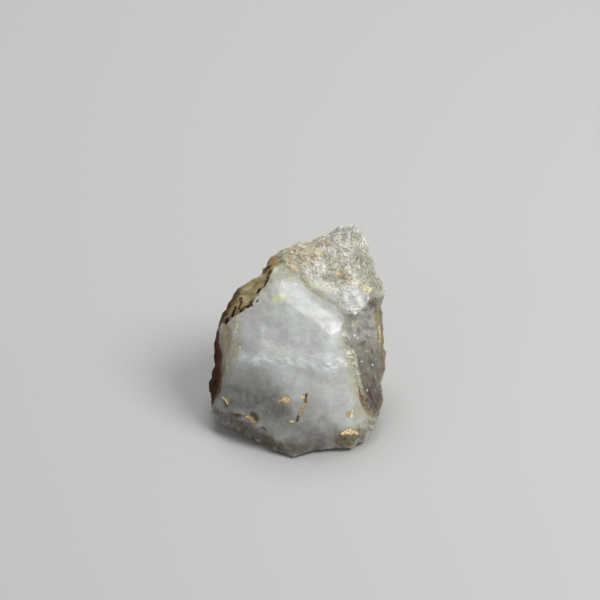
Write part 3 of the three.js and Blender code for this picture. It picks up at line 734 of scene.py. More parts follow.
def iron_group():
    """Where iron has stained the stone, and the stain's colour from ochre to dark brown."""
    inputs = [
        PLACE, ("Amount", "value", 0.3), ("Width", "value", 1.5), ("Ochre", "colour", OCHRE),
        ("Brown", "colour", IRON_BROWN),
    ]
    outputs = [("Mask", "value"), ("Colour", "colour")]
    recipe, entry, leave = new_group("iron stain", inputs, outputs)
    scale = recipe.math("DIVIDE", 1.0, entry["Width"])
    patch = recipe.noise(entry["Place"], scale, 5.0, 0.62, 0.4)
    limit = recipe.math("SUBTRACT", 0.8, recipe.math("MULTIPLY", entry["Amount"], 0.5))
    depth = recipe.noise(entry["Place"], recipe.math("MULTIPLY", scale, 2.1), 3.0, 0.5)
    recipe.feed(leave["Mask"], recipe.span(patch, limit, recipe.math("ADD", limit, 0.12)))
    stain = recipe.lay(entry["Ochre"], entry["Brown"], depth, 0.42, 0.66)
    recipe.feed(leave["Colour"], stain)


# ---------------------------------------------------------------------------------------------
# Colours

MILK = colour(224, 227, 221)
COOL_MILK = colour(209, 211, 209)
WHITE = colour(246, 250, 248)
SMOKE = colour(120, 114, 104)
STRAW = colour(206, 200, 156)
LEMON = colour(255, 255, 208)
SULPHUR = colour(186, 172, 120)
# A tan tint along the valley under the crust: partly stain, partly painted shade in the crevice.
VALLEY_STAIN_AND_SHADE = colour(200, 186, 142)
CORNER_SHADE = colour(128, 122, 100)
CORNER_PALE = colour(196, 193, 172)
BEVEL_BROWN = colour(94, 82, 62)
BEVEL_SHADE = colour(58, 46, 36)
FOOT_UMBER = colour(106, 94, 62)
FACET_BUFF = colour(178, 152, 104)
FACET_BROWN = colour(92, 70, 42)
BESIDE_RIND = colour(112, 78, 42)
BESIDE_SEAM = colour(206, 201, 168)

UPPER_FLANK = colour(200, 199, 187)
MIDDLE_FLANK = colour(146, 141, 125)
LOWER_FLANK = colour(110, 92, 80)
FLANK_SMOKE = colour(96, 82, 66)
FLANK_VEIL = colour(188, 186, 176)
FLANK_SPECK = colour(232, 230, 222)
FLANK_GREY = colour(156, 158, 146)
# Dark brown on the flank: brown stains, and painted shadow under the crust's overhanging rim.
FLANK_UMBER_AND_SHADOW = colour(74, 50, 38)
FLANK_RIM = colour(124, 96, 56)

PREHNITE = colour(242, 241, 218)
PALE_PREHNITE = colour(253, 253, 243)
GREY_PREHNITE = colour(200, 197, 175)
SEAM_PREHNITE = colour(244, 242, 218)
SEAM_SHADE = colour(184, 176, 134)
CRUST_SHADE = colour(166, 162, 150)
CRUST_MOTTLE = colour(172, 164, 132)
CRUST_DARK_GRAIN = colour(140, 130, 106)
CRUST_GREY = colour(138, 140, 126)
CRUST_BUFF = colour(198, 174, 128)
CRUST_OCHRE = colour(226, 200, 124)
CRUST_BROWN = colour(184, 148, 92)
LEDGE_SHADE = colour(164, 164, 164)
LEDGE_PALE = colour(212, 212, 210)

KHAKI = colour(170, 154, 112)
PALE_KHAKI = colour(206, 194, 152)
KHAKI_SHADE = colour(122, 98, 58)
KHAKI_SPECKLE = colour(118, 96, 66)
RIND_CREAM = colour(226, 204, 150)
RUST_SHADE = colour(60, 25, 12)
RUST = colour(98, 52, 24)
OLIVE_SHADE = colour(50, 30, 10)
OLIVE = colour(88, 60, 22)
SIDE_BROWN_SHADE = colour(70, 40, 20)
SIDE_BROWN = colour(128, 92, 50)

BROKEN_SHADE = colour(176, 173, 164)
BROKEN_PALE = colour(212, 210, 202)
BROKEN_SMOKE = colour(134, 124, 110)
BROKEN_VEIL = colour(226, 225, 218)

OCHRE = colour(196, 150, 70)
IRON_BROWN = colour(92, 48, 20)
UMBER = colour(104, 80, 46)
DARK_RUST = colour(52, 12, 4)
GOLD = colour(214, 182, 112)
DULL_GOLD = colour(172, 156, 112)
PALE_GOLD = colour(252, 242, 188)
PEACH = colour(255, 222, 164)

# Painted shade for creases and painted highlight for edges, laid by the hollowness.
CREASE_SHADE = (0.05, 0.04, 0.03, 1.0)
EDGE_LIGHT = (0.72, 0.72, 0.69, 1.0)
GROUND_SHADE = (0.74, 0.74, 0.74, 1.0)
MARK_SHADE = 0.58

# Each mark's colour, and how strongly a dark rim surrounds it.
MARK_LOOKS = {
    "khaki_marks": (DULL_GOLD, 0.5),
    "gold_marks": (GOLD, 0.4),
    "umber_marks": (UMBER, 0.2),
    "rust_marks": (DARK_RUST, 0.3),
    "peach_marks": (PEACH, 0.25),
    "straw_marks": (PALE_GOLD, 0.15),
    # The white marks are partly white flecks and partly painted glints and highlights.
    "white_flecks_and_glints": (WHITE, 0.0),
}

# ---------------------------------------------------------------------------------------------
# Where the marks and patches lie on the leaning front

# Small marks by colour: a line as (across, up), half width and softness.
MARKS = {
    "khaki_marks": [
        ([(16.1, 5.0), (16.6, 2.2), (16.8, -0.9)], 0.6, 0.2), ([(17.4, -2.6), (17.6, -5.2)], 0.2, 0.3),
        ([(12.9, -11.4), (13.4, -12.8), (14.6, -14.6)], 0.16, 0.3),
        ([(17.5, -9.8), (17.5, -12.4), (16.8, -14.2)], 0.4, 0.25),
        ([(15.4, -14.9), (16.2, -14.4)], 0.14, 0.3),
    ],
    "gold_marks": [
        ([(1.6, -12.3), (1.0, -13.6), (0.4, -14.9)], 0.2, 0.1),
        ([(-13.9, -11.6), (-13.6, -12.3)], 0.26, 0.14),
        ([(-9.9, -15.2), (-9.2, -15.5), (-8.5, -16.2)], 0.34, 0.15),
        ([(10.2, -14.9), (10.7, -14.5)], 0.34, 0.15),
        ([(5.8, 19.6), (5.9, 19.1)], 0.26, 0.2), ([(8.5, 13.2), (8.9, 12.9)], 0.26, 0.2),
        ([(-4.0, 16.1), (-6.0, 14.2)], 0.5, 0.4), ([(13.0, -10.4), (13.3, -11.6)], 0.12, 0.1),
        ([(13.9, -13.0), (14.3, -13.8)], 0.12, 0.1), ([(17.5, -10.8), (17.5, -11.6)], 0.14, 0.1),
    ],
    "umber_marks": [
        ([(-8.9, -14.7), (-8.3, -14.9), (-8.0, -15.7)], 0.46, 0.2),
        ([(0.3, -15.0), (-0.1, -16.0)], 0.24, 0.12),
        ([(-13.0, -14.8), (-11.4, -15.2)], 0.28, 0.2), ([(15.0, 7.4), (15.8, 6.8)], 0.3, 0.3),
        ([(-11.9, 9.2), (-12.9, 7.9), (-14.1, 6.0), (-15.0, 4.2)], 0.42, 0.3),
        ([(-5.3, 14.8), (-6.8, 13.6)], 0.3, 0.25), ([(17.4, 4.4), (17.6, 1.0)], 0.3, 0.2),
        ([(12.4, -10.2), (13.0, -12.4), (14.6, -14.2)], 0.16, 0.16),
        ([(8.6, -19.0), (9.2, -19.8)], 0.2, 0.2),
        ([(-5.0, 14.6), (-5.9, 12.8)], 0.2, 0.2), ([(-9.0, 7.8), (-10.6, 6.3)], 0.26, 0.2),
    ],
    "rust_marks": [
        ([(-5.0, 14.2), (-5.7, 12.9)], 0.13, 0.1), ([(-5.9, 12.5), (-6.1, 11.8), (-6.5, 11.0)], 0.3, 0.08),
        ([(-6.5, 10.9), (-7.5, 10.1)], 0.2, 0.07), ([(-7.7, 9.9), (-8.1, 9.1)], 0.32, 0.07),
        ([(-8.0, 9.2), (-8.6, 8.8)], 0.13, 0.06), ([(-7.9, 7.9), (-8.0, 7.7)], 0.2, 0.06),
        ([(-9.0, 7.9), (-10.5, 6.4)], 0.15, 0.07), ([(-9.1, 7.0), (-9.9, 6.6)], 0.26, 0.08),
        ([(-10.9, 6.0), (-11.3, 5.7)], 0.22, 0.07), ([(-11.2, 8.4), (-11.7, 6.3)], 0.32, 0.08),
        ([(-12.2, 8.0), (-13.0, 6.8)], 0.18, 0.1), ([(-12.0, 5.4), (-12.4, 4.6)], 0.12, 0.08),
        ([(-12.3, 6.6), (-12.9, 4.9)], 0.3, 0.08), ([(-14.0, 4.3), (-14.2, 3.5)], 0.42, 0.08),
        ([(-3.7, 16.1), (-4.7, 15.3)], 0.16, 0.1), ([(-5.5, 14.9), (-6.6, 13.8)], 0.2, 0.1),
        ([(-12.7, -0.3), (-12.7, -0.4)], 0.14, 0.07), ([(-14.6, -12.3), (-14.0, -13.0)], 0.18, 0.08),
        ([(1.9, -10.7), (1.6, -12.3)], 0.18, 0.07), ([(0.0, -15.6), (-0.1, -15.9)], 0.12, 0.08),
        ([(-12.8, -14.7), (-10.4, -15.1)], 0.15, 0.08), ([(9.3, -19.5), (9.5, -20.1)], 0.12, 0.08),
        ([(-4.8, -11.0), (-4.8, -11.0)], 0.1, 0.06), ([(-2.6, -10.7), (-2.0, -11.1)], 0.07, 0.06),
        ([(16.7, 1.2), (16.6, -0.4)], 0.12, 0.07), ([(13.0, -11.0), (13.5, -12.4)], 0.1, 0.1),
        ([(-6.9, -17.4), (-6.2, -18.0)], 0.14, 0.2), ([(-3.9, -20.2), (-2.9, -21.0)], 0.14, 0.2),
    ],
    "peach_marks": [
        ([(-3.3, -11.9), (-2.7, -11.6), (-2.0, -11.3), (-1.4, -12.0)], 0.24, 0.12),
        ([(-2.6, -11.9), (-1.8, -12.0)], 0.26, 0.12),
        ([(9.9, -18.4), (11.2, -18.5)], 0.34, 0.14), ([(0.8, -11.3), (1.4, -11.3)], 0.24, 0.14),
        ([(9.2, -18.5), (10.4, -18.0), (12.1, -18.6)], 0.34, 0.14),
        ([(-1.5, 15.2), (-0.7, 14.2), (0.4, 13.7)], 0.12, 0.4), ([(1.2, 12.8), (1.8, 12.1)], 0.04, 0.4),
        ([(-3.4, 16.2), (-4.3, 15.7)], 0.24, 0.24), ([(10.0, 11.9), (10.3, 11.8)], 0.2, 0.14),
        ([(5.8, 19.5), (5.9, 19.3)], 0.16, 0.14),
    ],
    "straw_marks": [
        ([(-11.9, 3.2), (-12.0, 2.3)], 0.2, 0.3),
        ([(-14.9, -11.3), (-14.3, -12.0), (-13.8, -12.5)], 0.24, 0.1),
        ([(-3.9, -12.3), (-3.2, -11.9)], 0.15, 0.09),
        ([(-3.2, -12.3), (-1.4, -12.3)], 0.09, 0.07), ([(-1.4, -16.0), (-0.5, -16.2)], 0.22, 0.1),
        ([(-0.5, -16.3), (0.2, -17.0)], 0.08, 0.07), ([(-10.2, -15.1), (-9.1, -15.4)], 0.14, 0.08),
        ([(11.1, -14.1), (10.9, -15.0)], 0.3, 0.14), ([(10.6, -17.7), (11.7, -18.3)], 0.16, 0.1),
        ([(-6.5, -14.3), (-6.5, -14.3)], 0.13, 0.07), ([(5.1, 17.2), (4.6, 17.7)], 0.28, 0.24),
        ([(13.0, 10.7), (14.9, 10.0)], 0.4, 0.34), ([(10.4, 13.8), (10.7, 13.6)], 0.26, 0.22),
        ([(8.2, 14.0), (8.0, 13.4)], 0.22, 0.2), ([(12.4, 14.7), (12.8, 14.4)], 0.24, 0.2),
        ([(16.6, 2.6), (16.7, -0.2)], 0.34, 0.14), ([(11.2, 4.4), (11.1, 3.0)], 0.2, 0.24),
        ([(-2.8, 15.1), (-1.9, 15.1)], 0.26, 0.34), ([(-5.6, 12.4), (-5.9, 11.4)], 0.07, 0.06),
        ([(9.4, 3.8), (9.5, 3.7)], 0.12, 0.12), ([(9.3, 2.4), (9.4, 2.2)], 0.12, 0.12),
    ],
    # Partly white flecks, partly painted glints and highlights: sparkles on the ridge and the flank, the
    # ledge's bright lower rim and the left facet's bright edge.
    "white_flecks_and_glints": [
        ([(-12.3, 1.8), (-12.3, 1.6)], 0.3, 0.07), ([(-0.4, 11.2), (-0.1, 11.2)], 0.18, 0.15),
        ([(7.4, 2.3), (7.4, 1.3)], 0.08, 0.12), ([(5.2, -5.7), (6.6, -5.9)], 0.06, 0.12),
        ([(-12.1, -4.9), (-12.1, -5.0)], 0.15, 0.1), ([(-11.4, -1.2), (-11.3, -1.6)], 0.12, 0.12),
        ([(-13.5, -7.6), (-13.3, -7.7)], 0.14, 0.14), ([(-15.7, -0.2), (-15.3, -3.0)], 0.09, 0.08),
        ([(11.5, 1.1), (11.6, 1.0)], 0.28, 0.1), ([(12.1, 0.7), (12.2, 0.5)], 0.2, 0.1),
        ([(13.9, -2.2), (13.9, -2.3)], 0.2, 0.1), ([(14.4, 1.0), (14.4, 0.9)], 0.14, 0.1),
        ([(12.6, -6.6), (12.7, -6.7)], 0.16, 0.12), ([(13.9, -9.8), (14.1, -10.0)], 0.16, 0.1),
        ([(13.0, -4.2), (13.0, -4.2)], 0.24, 0.1), ([(15.2, -4.7), (15.2, -4.8)], 0.24, 0.1),
        ([(15.8, -7.2), (15.8, -7.7)], 0.24, 0.08), ([(15.7, -1.6), (15.7, -1.7)], 0.16, 0.08),
        ([(13.6, -18.5), (13.6, -18.5)], 0.1, 0.06), ([(9.0, 7.0), (10.5, 6.1), (12.4, 6.3)], 0.14, 0.12),
        ([(12.5, 6.9), (12.5, 6.8)], 0.15, 0.07), ([(9.4, 10.0), (11.0, 10.1)], 0.08, 0.12),
        ([(-7.9, -13.0), (-7.6, -13.0)], 0.1, 0.1), ([(-8.0, -3.8), (-7.2, -3.6)], 0.1, 0.2),
        ([(-5.6, -3.9), (-4.6, -4.1)], 0.1, 0.2), ([(-2.2, -4.4), (-1.0, -4.4)], 0.08, 0.15),
        ([(5.0, -12.9), (5.2, -13.3)], 0.06, 0.1), ([(8.5, 12.1), (8.7, 12.0)], 0.14, 0.08),
        ([(5.5, 11.2), (5.6, 11.1)], 0.2, 0.12), ([(4.6, 11.6), (4.8, 11.6)], 0.12, 0.1),
    ],
}
# Cloudy patches on the front: a line as (across, up), reach and strength.
PATCHES = {
    "smoke": [
        ([(-12.2, -6.3), (-6.4, -7.0)], 1.2, 0.14), ([(-13.8, -9.4), (-5.4, -11.8)], 2.8, 0.66),
        ([(-14.4, -12.6), (-3.0, -14.2)], 2.6, 0.74), ([(-8.4, -8.2), (-4.4, -10.0)], 1.4, 0.35),
        ([(-5.0, -17.4), (3.0, -17.8)], 3.0, 0.45), ([(5.0, -15.4), (7.6, -17.4)], 1.1, 0.42),
        ([(-3.4, -21.4), (4.0, -21.2)], 2.6, 0.96), ([(7.0, -19.6), (3.4, -20.2)], 2.0, 0.36),
        ([(2.0, -12.0), (1.4, -15.6)], 2.0, 0.3), ([(9.0, 3.6), (9.8, 1.0)], 0.9, 0.75),
        ([(-14.0, 1.4), (-11.6, -2.0)], 1.6, 0.2),
    ],
    # Partly cloudy white quartz, partly painted highlight on the bright band under the crust, along the
    # ridge and on lit faces of the crust and the ledge.
    "frost_and_highlight": [
        ([(-2.4, 10.8), (2.6, 9.0), (4.6, 7.4)], 1.6, 0.26),
        ([(-0.8, 9.6), (2.4, 7.8), (5.0, 5.8)], 0.8, 0.14), ([(-11.0, -3.6), (-7.0, -3.8)], 1.1, 1.0),
        ([(-7.6, -3.6), (-5.0, -4.0)], 0.7, 0.6), ([(-2.4, -4.4), (3.6, -4.9)], 0.6, 0.5),
        ([(4.6, -5.5), (7.4, -5.9)], 0.6, 0.6), ([(7.4, 3.0), (7.6, -1.0)], 1.2, 0.12),
        ([(5.8, -0.6), (6.6, -5.2)], 1.5, 0.4), ([(-4.4, -6.4), (1.0, -7.8)], 1.7, 0.6),
        ([(4.0, -9.0), (7.4, -13.0)], 2.0, 0.12), ([(-1.0, 5.0), (1.0, 2.0)], 2.0, 0.3),
        ([(0.6, -18.6), (-1.4, -19.4)], 1.0, 0.3),
        ([(1.4, 13.0), (3.0, 11.6), (4.8, 10.4), (7.4, 9.2)], 1.1, 1.0),
        ([(5.6, 18.4), (8.0, 19.0)], 1.6, 0.8), ([(4.2, 15.4), (5.2, 14.6)], 1.1, 0.9),
        ([(9.6, 9.2), (12.0, 8.6)], 1.0, 0.9), ([(10.4, 6.6), (12.6, 6.8)], 0.6, 0.6),
        ([(-12.6, 0.8), (-8.0, 3.0)], 2.6, 0.4),
    ],
    "umber": [
        ([(-11.4, -16.8), (-4.2, -21.2)], 1.5, 0.7), ([(8.4, -19.8), (11.2, -20.0)], 1.7, 0.97),
        ([(3.2, -18.8), (8.0, -18.6)], 1.2, 0.3), ([(14.0, -10.4), (15.6, -13.2)], 2.0, 0.8),
        # The first patch on the next line is painted shadow under the crust's overhanging rim, mostly on
        # the flank. The other patches are brown stains.
        ([(14.8, 7.6), (16.4, 7.0), (17.0, 5.0)], 1.6, 0.78), ([(14.4, -4.0), (17.0, -7.0)], 2.0, 0.22),
        ([(16.6, -8.4), (17.0, -11.0)], 1.0, 0.7),
        ([(9.4, -21.6), (12.4, -20.6)], 1.6, 0.95), ([(-2.0, -22.6), (1.0, -22.8)], 1.3, 0.7),
    ],
    "straw": [
        ([(-4.0, 13.8), (-7.4, 9.6), (-10.8, 6.2)], 1.2, 0.65),
        ([(-3.4, 14.0), (-1.6, 13.2)], 1.3, 0.4), ([(-1.6, 13.6), (1.8, 11.8)], 1.2, 0.5),
        ([(9.2, -0.4), (10.4, -6.0), (11.6, -11.0)], 1.3, 0.4), ([(12.0, -13.6), (14.0, -15.8)], 1.5, 0.55),
        ([(3.0, 11.4), (7.0, 9.6)], 1.0, 0.15), ([(11.0, -16.4), (13.0, -18.0)], 1.3, 0.3),
        ([(-12.4, 4.0), (-11.6, 2.0)], 0.8, 0.35),
    ],
    "lemon": [
        ([(-4.4, 8.4), (-3.4, 8.5)], 0.8, 1.0), ([(-11.9, 3.2), (-12.0, 2.4)], 0.5, 0.7),
        ([(-2.6, 8.6), (-1.8, 8.4)], 0.7, 0.3), ([(1.6, 12.9), (3.4, 11.2), (6.4, 9.8)], 0.9, 0.4),
    ],
    "sulphur": [
        ([(-12.0, -0.6), (-12.6, -2.4), (-13.3, -4.4), (-14.0, -6.4)], 1.0, 0.9),
        ([(-12.2, 3.4), (-12.1, 2.2)], 0.5, 0.5), ([(-14.2, 0.2), (-15.0, -0.6)], 0.5, 0.5),
    ],
    "grey": [
        ([(9.4, 22.0), (11.4, 21.2)], 1.5, 0.5), ([(12.0, 16.8), (14.0, 15.6)], 1.4, 0.7),
        ([(6.4, 11.4), (9.6, 11.6)], 0.7, 0.1), ([(13.4, 7.2), (14.0, 4.6)], 0.9, 0.5),
        ([(10.0, 13.6), (13.0, 12.6)], 1.4, 0.25), ([(15.0, 13.4), (16.0, 11.0)], 1.6, 0.7),
        ([(9.6, 3.2), (10.4, 0.4)], 0.9, 0.9), ([(12.2, 17.2), (13.0, 15.8)], 1.2, 0.7),
        ([(5.2, 12.9), (5.8, 12.6)], 0.6, 0.8), ([(13.0, 13.8), (14.6, 12.2)], 1.0, 0.6),
    ],
    "buff": [
        ([(-3.0, 17.2), (3.4, 18.8)], 2.4, 0.75), ([(0.4, 15.4), (3.0, 16.4)], 1.8, 0.5),
        ([(7.0, 14.6), (9.6, 12.8)], 1.6, 0.3), ([(14.0, 12.6), (15.8, 9.0)], 1.4, 0.3),
        ([(4.0, 20.2), (6.4, 21.4)], 1.0, 0.3),
    ],
}


# ---------------------------------------------------------------------------------------------
# Laying the shared effects


def lay_patches(recipe, where, tint, *patches):
    """Lays cloudy patches over a colour. Each is its name, cloud width, least share and colour."""
    for name, width, least, over in patches:
        patch = recipe.attribute(name)
        cloud = recipe.group("cloudy patch", Place=where, Patch=patch, Width=width, Least=least)
        tint = recipe.mix(cloud["Mask"], tint, over)
    return tint


def border(recipe, where, name, softness, wander, strength):
    """A mask inside a ground, with a border that wanders."""
    sources = {"Depth": recipe.attribute(name), "Softness": softness, "Wander": wander}
    mask = recipe.group("wandering border", Place=where, **sources)["Mask"]
    return recipe.math("MULTIPLY", mask, strength)


def veils(recipe, where, width, stretch):
    return recipe.group("quartz veils", Place=where, Width=width, Stretch=stretch)["Cloud"]


def iron(recipe, where, tint, share, amount, width, **colours):
    """Stains a colour with iron."""
    made = recipe.group("iron stain", Place=where, Amount=amount, Width=width, **colours)
    return recipe.mix(recipe.math("MULTIPLY", made["Mask"], share), tint, made["Colour"])


# ---------------------------------------------------------------------------------------------
# The stone's grounds, each a group with its colour, height and roughness

GROUND_INPUTS = [PLACE, ("Across", "value", 0.0), ("Up", "value", 0.0), ("Out", "value", 0.0)]
GROUND_OUTPUTS = [("Colour", "colour"), ("Height", "value"), ("Roughness", "value")]


def lay_ground(recipe, name, place):
    """A ground, fed with where on the stone it is."""
    return recipe.group(name, **{title: place[title] for title, *_ in GROUND_INPUTS})


def milky_ground():
    recipe, entry, leave = new_group("milky ground", GROUND_INPUTS, GROUND_OUTPUTS)
    where = entry["Place"]
    wide, fine = veils(recipe, where, 4.0, 1.3), veils(recipe, where, 1.2, 1.4)
    streaks = veils(recipe, where, 1.0, 3.0)
    tint = recipe.lay(COOL_MILK, MILK, recipe.blend(0.45, wide, fine), 0.38, 0.62)
    tint = recipe.lay(tint, WHITE, streaks, 0.5, 0.7, 0.3)
    tint = lay_patches(
        recipe,
        where,
        tint,
        # Partly cloudy white quartz, partly painted highlight on the bright band and the ridge.
        ("frost_and_highlight", 1.6, 0.4, WHITE),
        ("smoke", 1.8, 0.75, SMOKE),
        ("straw", 1.2, 0.4, STRAW),
        ("lemon", 0.8, 0.7, LEMON),
    )

    mottle = recipe.noise(where, 1.1, 4.0, 0.65)
    corner_tint = recipe.lay(CORNER_SHADE, CORNER_PALE, mottle, 0.4, 0.62)
    tint = recipe.lay(tint, corner_tint, recipe.attribute("corner"), 2.2, 0.6, 0.75)
    bevel = border(recipe, where, "toe_bevel", 0.7, 0.8, 1.0)
    tint = recipe.mix(recipe.math("MULTIPLY", bevel, 0.8), tint, BEVEL_BROWN)
    mottle = recipe.span(mottle, 0.5, 0.64, 0.0, 0.8)
    tint = recipe.mix(recipe.math("MULTIPLY", bevel, mottle), tint, BEVEL_SHADE)
    tint = lay_patches(recipe, where, tint, ("umber", 1.2, 0.6, FOOT_UMBER))

    facet_tint = recipe.lay(FACET_BUFF, FACET_BROWN, entry["Up"], 1.5, -6.5)
    facet_tint = recipe.lay(facet_tint, STRAW, fine, 0.46, 0.7, 0.4)
    tint = recipe.mix(border(recipe, where, "left_facet", 0.3, 0.4, 0.8), tint, facet_tint)
    tint = lay_patches(recipe, where, tint, ("sulphur", 0.8, 0.4, SULPHUR))

    # Along the valley: partly a stain, partly painted shade in the crevice.
    valley = recipe.span(recipe.attribute("valley"), 0.85, 0.0, 0.0, 0.7)
    valley = recipe.math("MULTIPLY", valley, recipe.span(fine, 0.35, 0.6, 0.35, 1.0))
    tint = recipe.mix(valley, tint, VALLEY_STAIN_AND_SHADE)
    by_rind = recipe.span(recipe.attribute("rind"), -1.3, 0.0, 0.0, 0.6)
    by_rind = recipe.math("MULTIPLY", by_rind, recipe.span(entry["Up"], 3.0, -2.0))
    tint = recipe.mix(by_rind, tint, BESIDE_RIND)
    tint = recipe.lay(tint, BESIDE_SEAM, recipe.attribute("seam"), -1.4, -0.1, 0.45)
    recipe.feed(leave["Colour"], tint)

    crystal = recipe.cells(where, 0.8, "SMOOTH_F1")
    relief = recipe.math("MULTIPLY_ADD", streaks, 0.2, recipe.noise(where, 1.4, 4.0, 0.6))
    recipe.feed(leave["Height"], recipe.math("MULTIPLY_ADD", crystal, 0.35, relief))
    rough = recipe.span(recipe.noise(where, 0.8, 4.0, 0.6), 0.35, 0.65, 0.26, 0.46)
    recipe.feed(leave["Roughness"], rough)


def smoky_ground():
    recipe, entry, leave = new_group("smoky ground", GROUND_INPUTS, GROUND_OUTPUTS)
    where, up = entry["Place"], entry["Up"]
    layered = recipe.joined(entry["Across"], up, recipe.math("MULTIPLY", entry["Out"], 0.35))
    cloud = veils(recipe, layered, 1.6, 1.0)
    shade = recipe.group("mineral grain", Place=layered, Grain_Width=0.6)["Brightness"]
    tint = recipe.lay(UPPER_FLANK, MIDDLE_FLANK, up, 2.5, -2.5)
    tint = recipe.lay(tint, LOWER_FLANK, up, -4.0, -12.0)
    tint = recipe.lay(tint, FLANK_SMOKE, cloud, 0.48, 0.66, 0.6)
    tint = recipe.lay(tint, FLANK_VEIL, cloud, 0.45, 0.3, 0.45)
    speck = recipe.math("MULTIPLY", recipe.span(shade, 0.9, 0.98), recipe.span(cloud, 0.42, 0.56))
    tint = recipe.mix(recipe.math("MULTIPLY", speck, 0.35), tint, FLANK_SPECK)
    tint = iron(recipe, where, tint, 0.4, 0.35, 1.8)
    # The umber patches here include painted shadow under the crust's overhanging rim.
    patches = (("grey", 1.2, 0.4, FLANK_GREY), ("umber", 1.0, 0.6, FLANK_UMBER_AND_SHADOW))
    tint = lay_patches(recipe, where, tint, *patches)
    tint = recipe.lay(tint, FLANK_RIM, entry["Across"], 16.3, 17.3, 0.6)
    recipe.feed(leave["Colour"], tint)
    relief = recipe.noise(layered, 1.6, 5.0, 0.6)
    recipe.feed(leave["Height"], recipe.math("MULTIPLY_ADD", shade, 0.12, relief))
    recipe.feed(leave["Roughness"], recipe.span(cloud, 0.3, 0.7, 0.2, 0.42))


def prehnite_ground():
    recipe, entry, leave = new_group("prehnite ground", GROUND_INPUTS, GROUND_OUTPUTS)
    where = entry["Place"]
    grain = recipe.group("mineral grain", Place=where, Grain_Width=0.42)
    bright = grain["Brightness"]
    cloud = recipe.noise(where, 0.45, 5.0, 0.65)
    patch = recipe.noise(where, 1.2, 4.0, 0.6)
    mottle = recipe.noise(where, 2.2, 3.0, 0.6)
    tint = recipe.lay(GREY_PREHNITE, PREHNITE, cloud, 0.36, 0.62)
    for value, low, high, strength, over in (
        (patch, 0.5, 0.66, 0.6, PALE_PREHNITE),
        (patch, 0.46, 0.32, 0.2, CRUST_SHADE),
        (mottle, 0.52, 0.64, 0.4, PALE_PREHNITE),
        (mottle, 0.46, 0.34, 0.35, CRUST_MOTTLE),
        (bright, 0.75, 0.95, 0.5, PALE_PREHNITE),
        (bright, 0.18, 0.02, 0.2, CRUST_DARK_GRAIN),
    ):
        tint = recipe.lay(tint, over, value, low, high, strength)
    tint = lay_patches(
        recipe,
        where,
        tint,
        ("grey", 1.0, 0.4, CRUST_GREY),
        ("buff", 1.0, 0.4, CRUST_BUFF),
        # Partly pale prehnite, partly painted highlight on lit faces of the crust and the ledge.
        ("frost_and_highlight", 1.4, 0.4, PALE_PREHNITE),
    )
    seam_tint = recipe.mix(bright, SEAM_SHADE, SEAM_PREHNITE)
    tint = recipe.lay(tint, seam_tint, recipe.attribute("seam"), -0.3, 0.2, 0.85)
    tint = iron(recipe, where, tint, 0.6, 0.45, 1.0, Ochre=CRUST_OCHRE, Brown=CRUST_BROWN)
    tint = lay_patches(recipe, where, tint, ("umber", 1.2, 0.4, UMBER))

    # The ledge's pale streaks are partly its streaky colour and partly painted highlight.
    across = recipe.math("MULTIPLY", entry["Across"], 0.6)
    streaked = recipe.joined(across, recipe.math("MULTIPLY", entry["Up"], 2.0))
    streak = recipe.noise(streaked, 1.0, 4.0, 0.65)
    ledge = border(recipe, where, "ledge", 1.1, 0.9, 0.75)
    tint = recipe.mix(ledge, tint, recipe.lay(LEDGE_SHADE, LEDGE_PALE, streak, 0.34, 0.62))
    recipe.feed(leave["Colour"], tint)
    smooth = recipe.math("SUBTRACT", 1.0, ledge)
    recipe.feed(leave["Height"], recipe.math("MULTIPLY", grain["Height"], smooth))
    rough = recipe.span(bright, 0.0, 1.0, 0.6, 0.25, smooth=False)
    recipe.feed(leave["Roughness"], recipe.blend(ledge, rough, 0.45))


def rind_ground():
    recipe, entry, leave = new_group("rind ground", GROUND_INPUTS, GROUND_OUTPUTS)
    where, across, up = entry["Place"], entry["Across"], entry["Up"]
    aslant = recipe.math("MULTIPLY_ADD", across, 0.75, recipe.math("MULTIPLY", up, -0.66))
    along = recipe.math("MULTIPLY_ADD", across, 0.66, recipe.math("MULTIPLY", up, 0.75))
    along = recipe.math("MULTIPLY", along, 0.35)
    inward = recipe.math("MULTIPLY", recipe.split(where)["Y"], 0.4)
    stripes = recipe.noise(recipe.joined(aslant, along, inward), 1.4, 5.0, 0.65, 0.3)
    speckle = recipe.noise(where, 2.6, 4.0, 0.7)
    tint = recipe.lay(KHAKI, PALE_KHAKI, stripes, 0.38, 0.6)
    tint = recipe.lay(tint, KHAKI_SHADE, stripes, 0.44, 0.32, 0.6)
    tint = recipe.lay(tint, KHAKI_SPECKLE, speckle, 0.5, 0.66, 0.45)
    tint = iron(recipe, where, tint, 0.6, 0.5, 1.5)
    tint = recipe.lay(tint, RIND_CREAM, up, 9.5, 13.0, 0.4)

    ragged = recipe.math("MULTIPLY_ADD", speckle, 3.0, entry["Out"])
    side = recipe.math("MULTIPLY", recipe.span(ragged, 0.2, -2.4), recipe.span(up, 12.0, 9.0))
    tint = recipe.mix(side, tint, recipe.lay(SIDE_BROWN_SHADE, SIDE_BROWN, stripes, 0.4, 0.6))
    rust = recipe.lay(RUST_SHADE, RUST, stripes, 0.4, 0.62)
    olive = recipe.lay(OLIVE_SHADE, OLIVE, speckle, 0.42, 0.6)
    rust = recipe.lay(rust, olive, up, -5.0, -8.0, 0.8)
    lower = recipe.math("MULTIPLY_ADD", across, -0.5, up)
    recipe.feed(leave["Colour"], recipe.lay(tint, rust, lower, 13.2, 9.4))
    recipe.feed(leave["Height"], recipe.math("MULTIPLY_ADD", stripes, 1.4, speckle))
    recipe.feed(leave["Roughness"], recipe.span(stripes, 0.3, 0.7, 0.55, 0.8))


